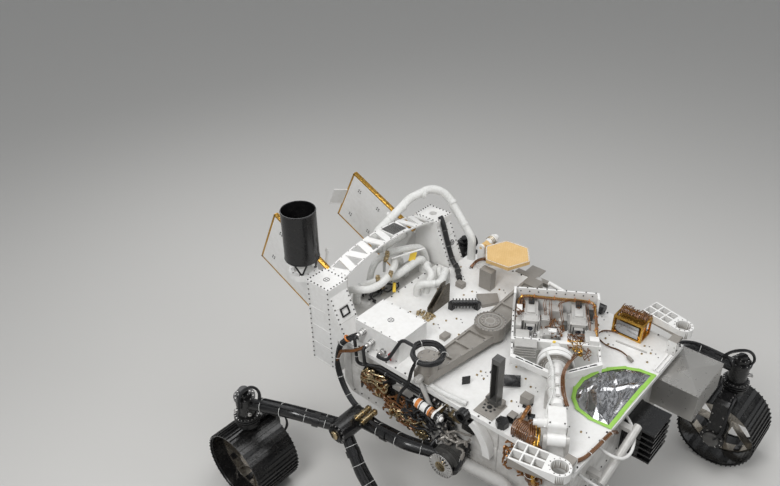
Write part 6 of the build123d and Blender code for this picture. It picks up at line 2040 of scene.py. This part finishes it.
@dataclass
class FrontUnits(SubAssembly):
    """Wiring, screws and film of the units at the front of the deck and on the nose."""

    def build(self) -> None:
        """Dresses the front."""
        self._gold_unit()
        self._harness()
        self._nose()
        self._brackets()

    def _gold_unit(self) -> None:
        """Rolled wire over the gold instrument, and film on its frame."""
        coils = []
        for index in range(16):
            x = 480 + index * 11
            radius = 26 + self.chance.uniform(-6, 8)
            centre = mm(x, 650 + self.chance.uniform(-8, 8), 1232 + radius * 0.55)
            turns = []
            for step in range(9):
                angle = math.tau * step / 8 + self.chance.uniform(-0.2, 0.2)
                across = radius / 1000 * 1.5 * math.cos(angle)
                rise = radius / 1000 * 0.55 * math.sin(angle)
                turns.append(centre + Vector((0.002 * step, across, rise)))
            coils.append(turns)
        self.bench.settle(Bench.cables(coils, 0.0035), "gold_unit_wires", COPPER_WIRE)
        panes = [
            Bench.block(mm(570, 561.8, 1165), (0.150, 0.0014, 0.088), None, 0.0004),
            Bench.block(mm(471.0, 628, 1165), (0.0014, 0.086, 0.088), None, 0.0004)]
        self.fit(panes, "gold_unit_mirror", FOIL)

    def _harness(self) -> None:
        """Strands over the plain bundles by the mast's foot."""
        fall = line(
            (545, -480, 1104), (545, -482, 1160), (598, -540, 1172), (640, -645, 1150),
            (656, -660, 1040), (660, -655, 900), (656, -600, 858))
        for label, shift, finish in (("a", -18, COPPER_WIRE), ("b", 18, FILM), ("c", 0, COPPER_WIRE)):
            route = shifted(fall, Vector((shift / 1000, -0.008, 0.008)))
            self.bundle(f"mast_foot_wires_{label}", route, 0.017, 9, 0.0040, finish)
        self.ties("mast_foot_ties", middles(fall)[1:5], 0.030, TIE)
        loops = []
        for index in range(9):
            x = 480 + 11 * index
            loops.append(line(
                (x, -590, 1102), (x + 4, -606, 1150), (x - 6, -560, 1176), (x + 5, -505, 1170),
                (x, -470, 1104)))
        self.bench.settle(Bench.cables(loops, 0.0045), "front_flat_cables", COPPER_WIRE)

    def _nose(self) -> None:
        """Rivets on the crease box, and lines on the nose."""
        places = []
        for y in (412, 788):
            places += with_normal(row(mm(862, y, 1040.6), mm(1108, y, 1040.6), 9), UP)
        places += with_normal(row(mm(1120, 420, 1020), mm(1120, 780, 1020), 10), AHEAD)
        places += with_normal(row(mm(1120, 420, 860), mm(1120, 780, 860), 10), AHEAD)
        self.screws("crease_rivets", places, 0.0040, STEEL)
        rods = [
            Bench.cable(line((852, -300, 1030), (930, -290, 1000), (985, -230, 960), (990, -120, 940),
                              (930, 20, 960), (852, 60, 980)), 0.009, 2),
            Bench.cable(line((852, -480, 960), (960, -470, 930), (1000, -400, 880), (960, -330, 830),
                              (852, -320, 800)), 0.008, 2)]
        self.fit(rods, "nose_lines", WHITE)

    def _brackets(self) -> None:
        """Screws round the front brackets' rings and posts."""
        places = []
        for side in (-1, 1):
            ring = mm(850, side * 730, 1240)
            places += with_normal(circle(ring, UP, 0.054, 12), UP)
            for z in (1125, 1160):
                for x in (832, 868):
                    places.append((mm(x, side * 590, z), PORT * -side))
        self.screws("bracket_screws", places, 0.0036, STEEL)


@dataclass
class Studio:
    """Pale floor, soft lights and the camera at the photograph's view."""

    eye: Triple = (2.168, -3.186, 4.239)
    gaze: Triple = (-0.5643, 0.6236, -0.5410)
    roll_degrees: float = -1.2
    focal_pixels: float = 760.0
    image_width: float = 780.0
    sensor: float = 36.0
    # Nearest and farthest distance that the camera shows
    clip: tuple[float, float] = (0.05, 200.0)
    floor_size: float = 60.0
    floor_colour: Triple = (0.6, 0.59, 0.57)
    floor_roughness: float = 0.75
    sky_strength: float = 0.36
    sky_colour: Triple = (0.93, 0.95, 0.97)

    def build(self) -> None:
        """Sets the stage."""
        self._camera()
        self._lights()
        self._floor()
        bpy.context.scene.view_settings.view_transform = "Standard"

    def _camera(self) -> None:
        """Camera solved from the wheels and the deck's edges."""
        data = bpy.data.cameras.new("camera")
        data.sensor_width = self.sensor
        data.lens = self.sensor * self.focal_pixels / self.image_width
        data.clip_start, data.clip_end = self.clip
        camera = bpy.data.objects.new("camera", data)
        bpy.context.scene.collection.objects.link(camera)
        turn = Vector(self.gaze).to_track_quat("-Z", "Y").to_matrix()
        roll = Matrix.Rotation(math.radians(self.roll_degrees), 3, "Z")
        camera.matrix_world = Matrix.Translation(self.eye) @ (turn @ roll).to_4x4()
        bpy.context.scene.camera = camera

    def _lights(self) -> None:
        """Broad lamps overhead and an even sky."""
        for name, place, aim, size, power in (
                ("key", (0.6, -4.2, 5.2), (0, 0, 0.8), 2.4, 178),
                ("fill", (4.4, 2.5, 4.4), (0, 0, 0.8), 3.0, 70),
                ("back", (-4.2, 1.2, 4.4), (0, 0, 0.8), 3.0, 45),
                ("top", (0.0, 0.6, 6.2), (0, 0, 0.5), 4.0, 112)):
            lamp = bpy.data.lights.new(name, "AREA")
            lamp.shape = "DISK"
            lamp.size = size
            lamp.energy = power
            piece = bpy.data.objects.new(name, lamp)
            bpy.context.scene.collection.objects.link(piece)
            aimed = (Vector(aim) - Vector(place)).to_track_quat("-Z", "Y").to_matrix().to_4x4()
            piece.matrix_world = Matrix.Translation(place) @ aimed
        world = bpy.data.worlds.new("sky")
        world.use_nodes = True
        graph = Graph(world.node_tree)
        toward = graph.add("TexCoord").outputs["Generated"]
        panels = graph.add(
            "TexWave", {"Vector": toward, "Scale": 1.1, "Distortion": 1.5, "Detail": 0.0},
            bands_direction="X")
        level = graph.add("MapRange", {
            "Value": panels.outputs["Fac"], "From Min": 0.35, "From Max": 0.7, "To Min": 0.12,
            "To Max": 0.85})
        rays = graph.add("LightPath").outputs["Is Glossy Ray"]
        chosen = graph.add(
            "Mix", {"Factor": rays, "A": self.sky_strength, "B": level.outputs["Result"]},
            data_type="FLOAT")
        graph.feed(world.node_tree.nodes["Background"], {
            "Strength": chosen.outputs["Result"], "Color": (*self.sky_colour, 1)})
        bpy.context.scene.world = world

    def _floor(self) -> None:
        """Wide plain floor."""
        Bench.clear()
        bpy.ops.mesh.primitive_plane_add(size=self.floor_size, location=(0, 0, 0))
        floor = bpy.context.object
        floor.name = "floor"
        material = bpy.data.materials.new("floor")
        material.use_nodes = True
        shader = material.node_tree.nodes["Principled BSDF"]
        shader.inputs["Base Color"].default_value = (*self.floor_colour, 1)
        shader.inputs["Roughness"].default_value = self.floor_roughness
        floor.data.materials.append(material)


# In the order in which they are built
ASSEMBLIES = (Wheels, SuspensionArms, Deck, FoilSheet, Mast, Antennas, Towers, StarboardWall, FrontUnits)


def dress_nodes(nodes: dict[str, bpy.types.Object], materials: dict[str, bpy.types.Material]) -> None:
    """Gives each CAD node the material of its finish.

    Args:
        nodes: The CAD nodes by name.
        materials: The materials by name.
    """
    for name, node in nodes.items():
        finish = next(finish for start, finish in NODE_FINISHES if name.startswith(start))
        node.data.materials.clear()
        node.data.materials.append(materials[finish.name])
        for face in node.data.polygons:
            face.material_index = 0
    for name, lower, upper, finish in REGION_FINISHES:
        data = nodes[name].data
        data.materials.append(materials[finish.name])
        low, high = mm(*lower), mm(*upper)
        for face in data.polygons:
            if all(low[axis] <= face.center[axis] <= high[axis] for axis in range(3)):
                face.material_index = len(data.materials) - 1


def main() -> None:
    """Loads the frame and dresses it."""
    logging.basicConfig(level=logging.INFO, format="%(name)s: %(message)s")
    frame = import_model()
    groups = NodeGroups()
    materials = {finish.name: finish.build(groups) for finish in FINISHES}
    dress_nodes(frame["nodes"], materials)
    bench = Bench(materials)
    Studio().build()
    for assembly in ASSEMBLIES:
        assembly(bench).build()
    Bench.clear()


if __name__ == "__main__":
    main()
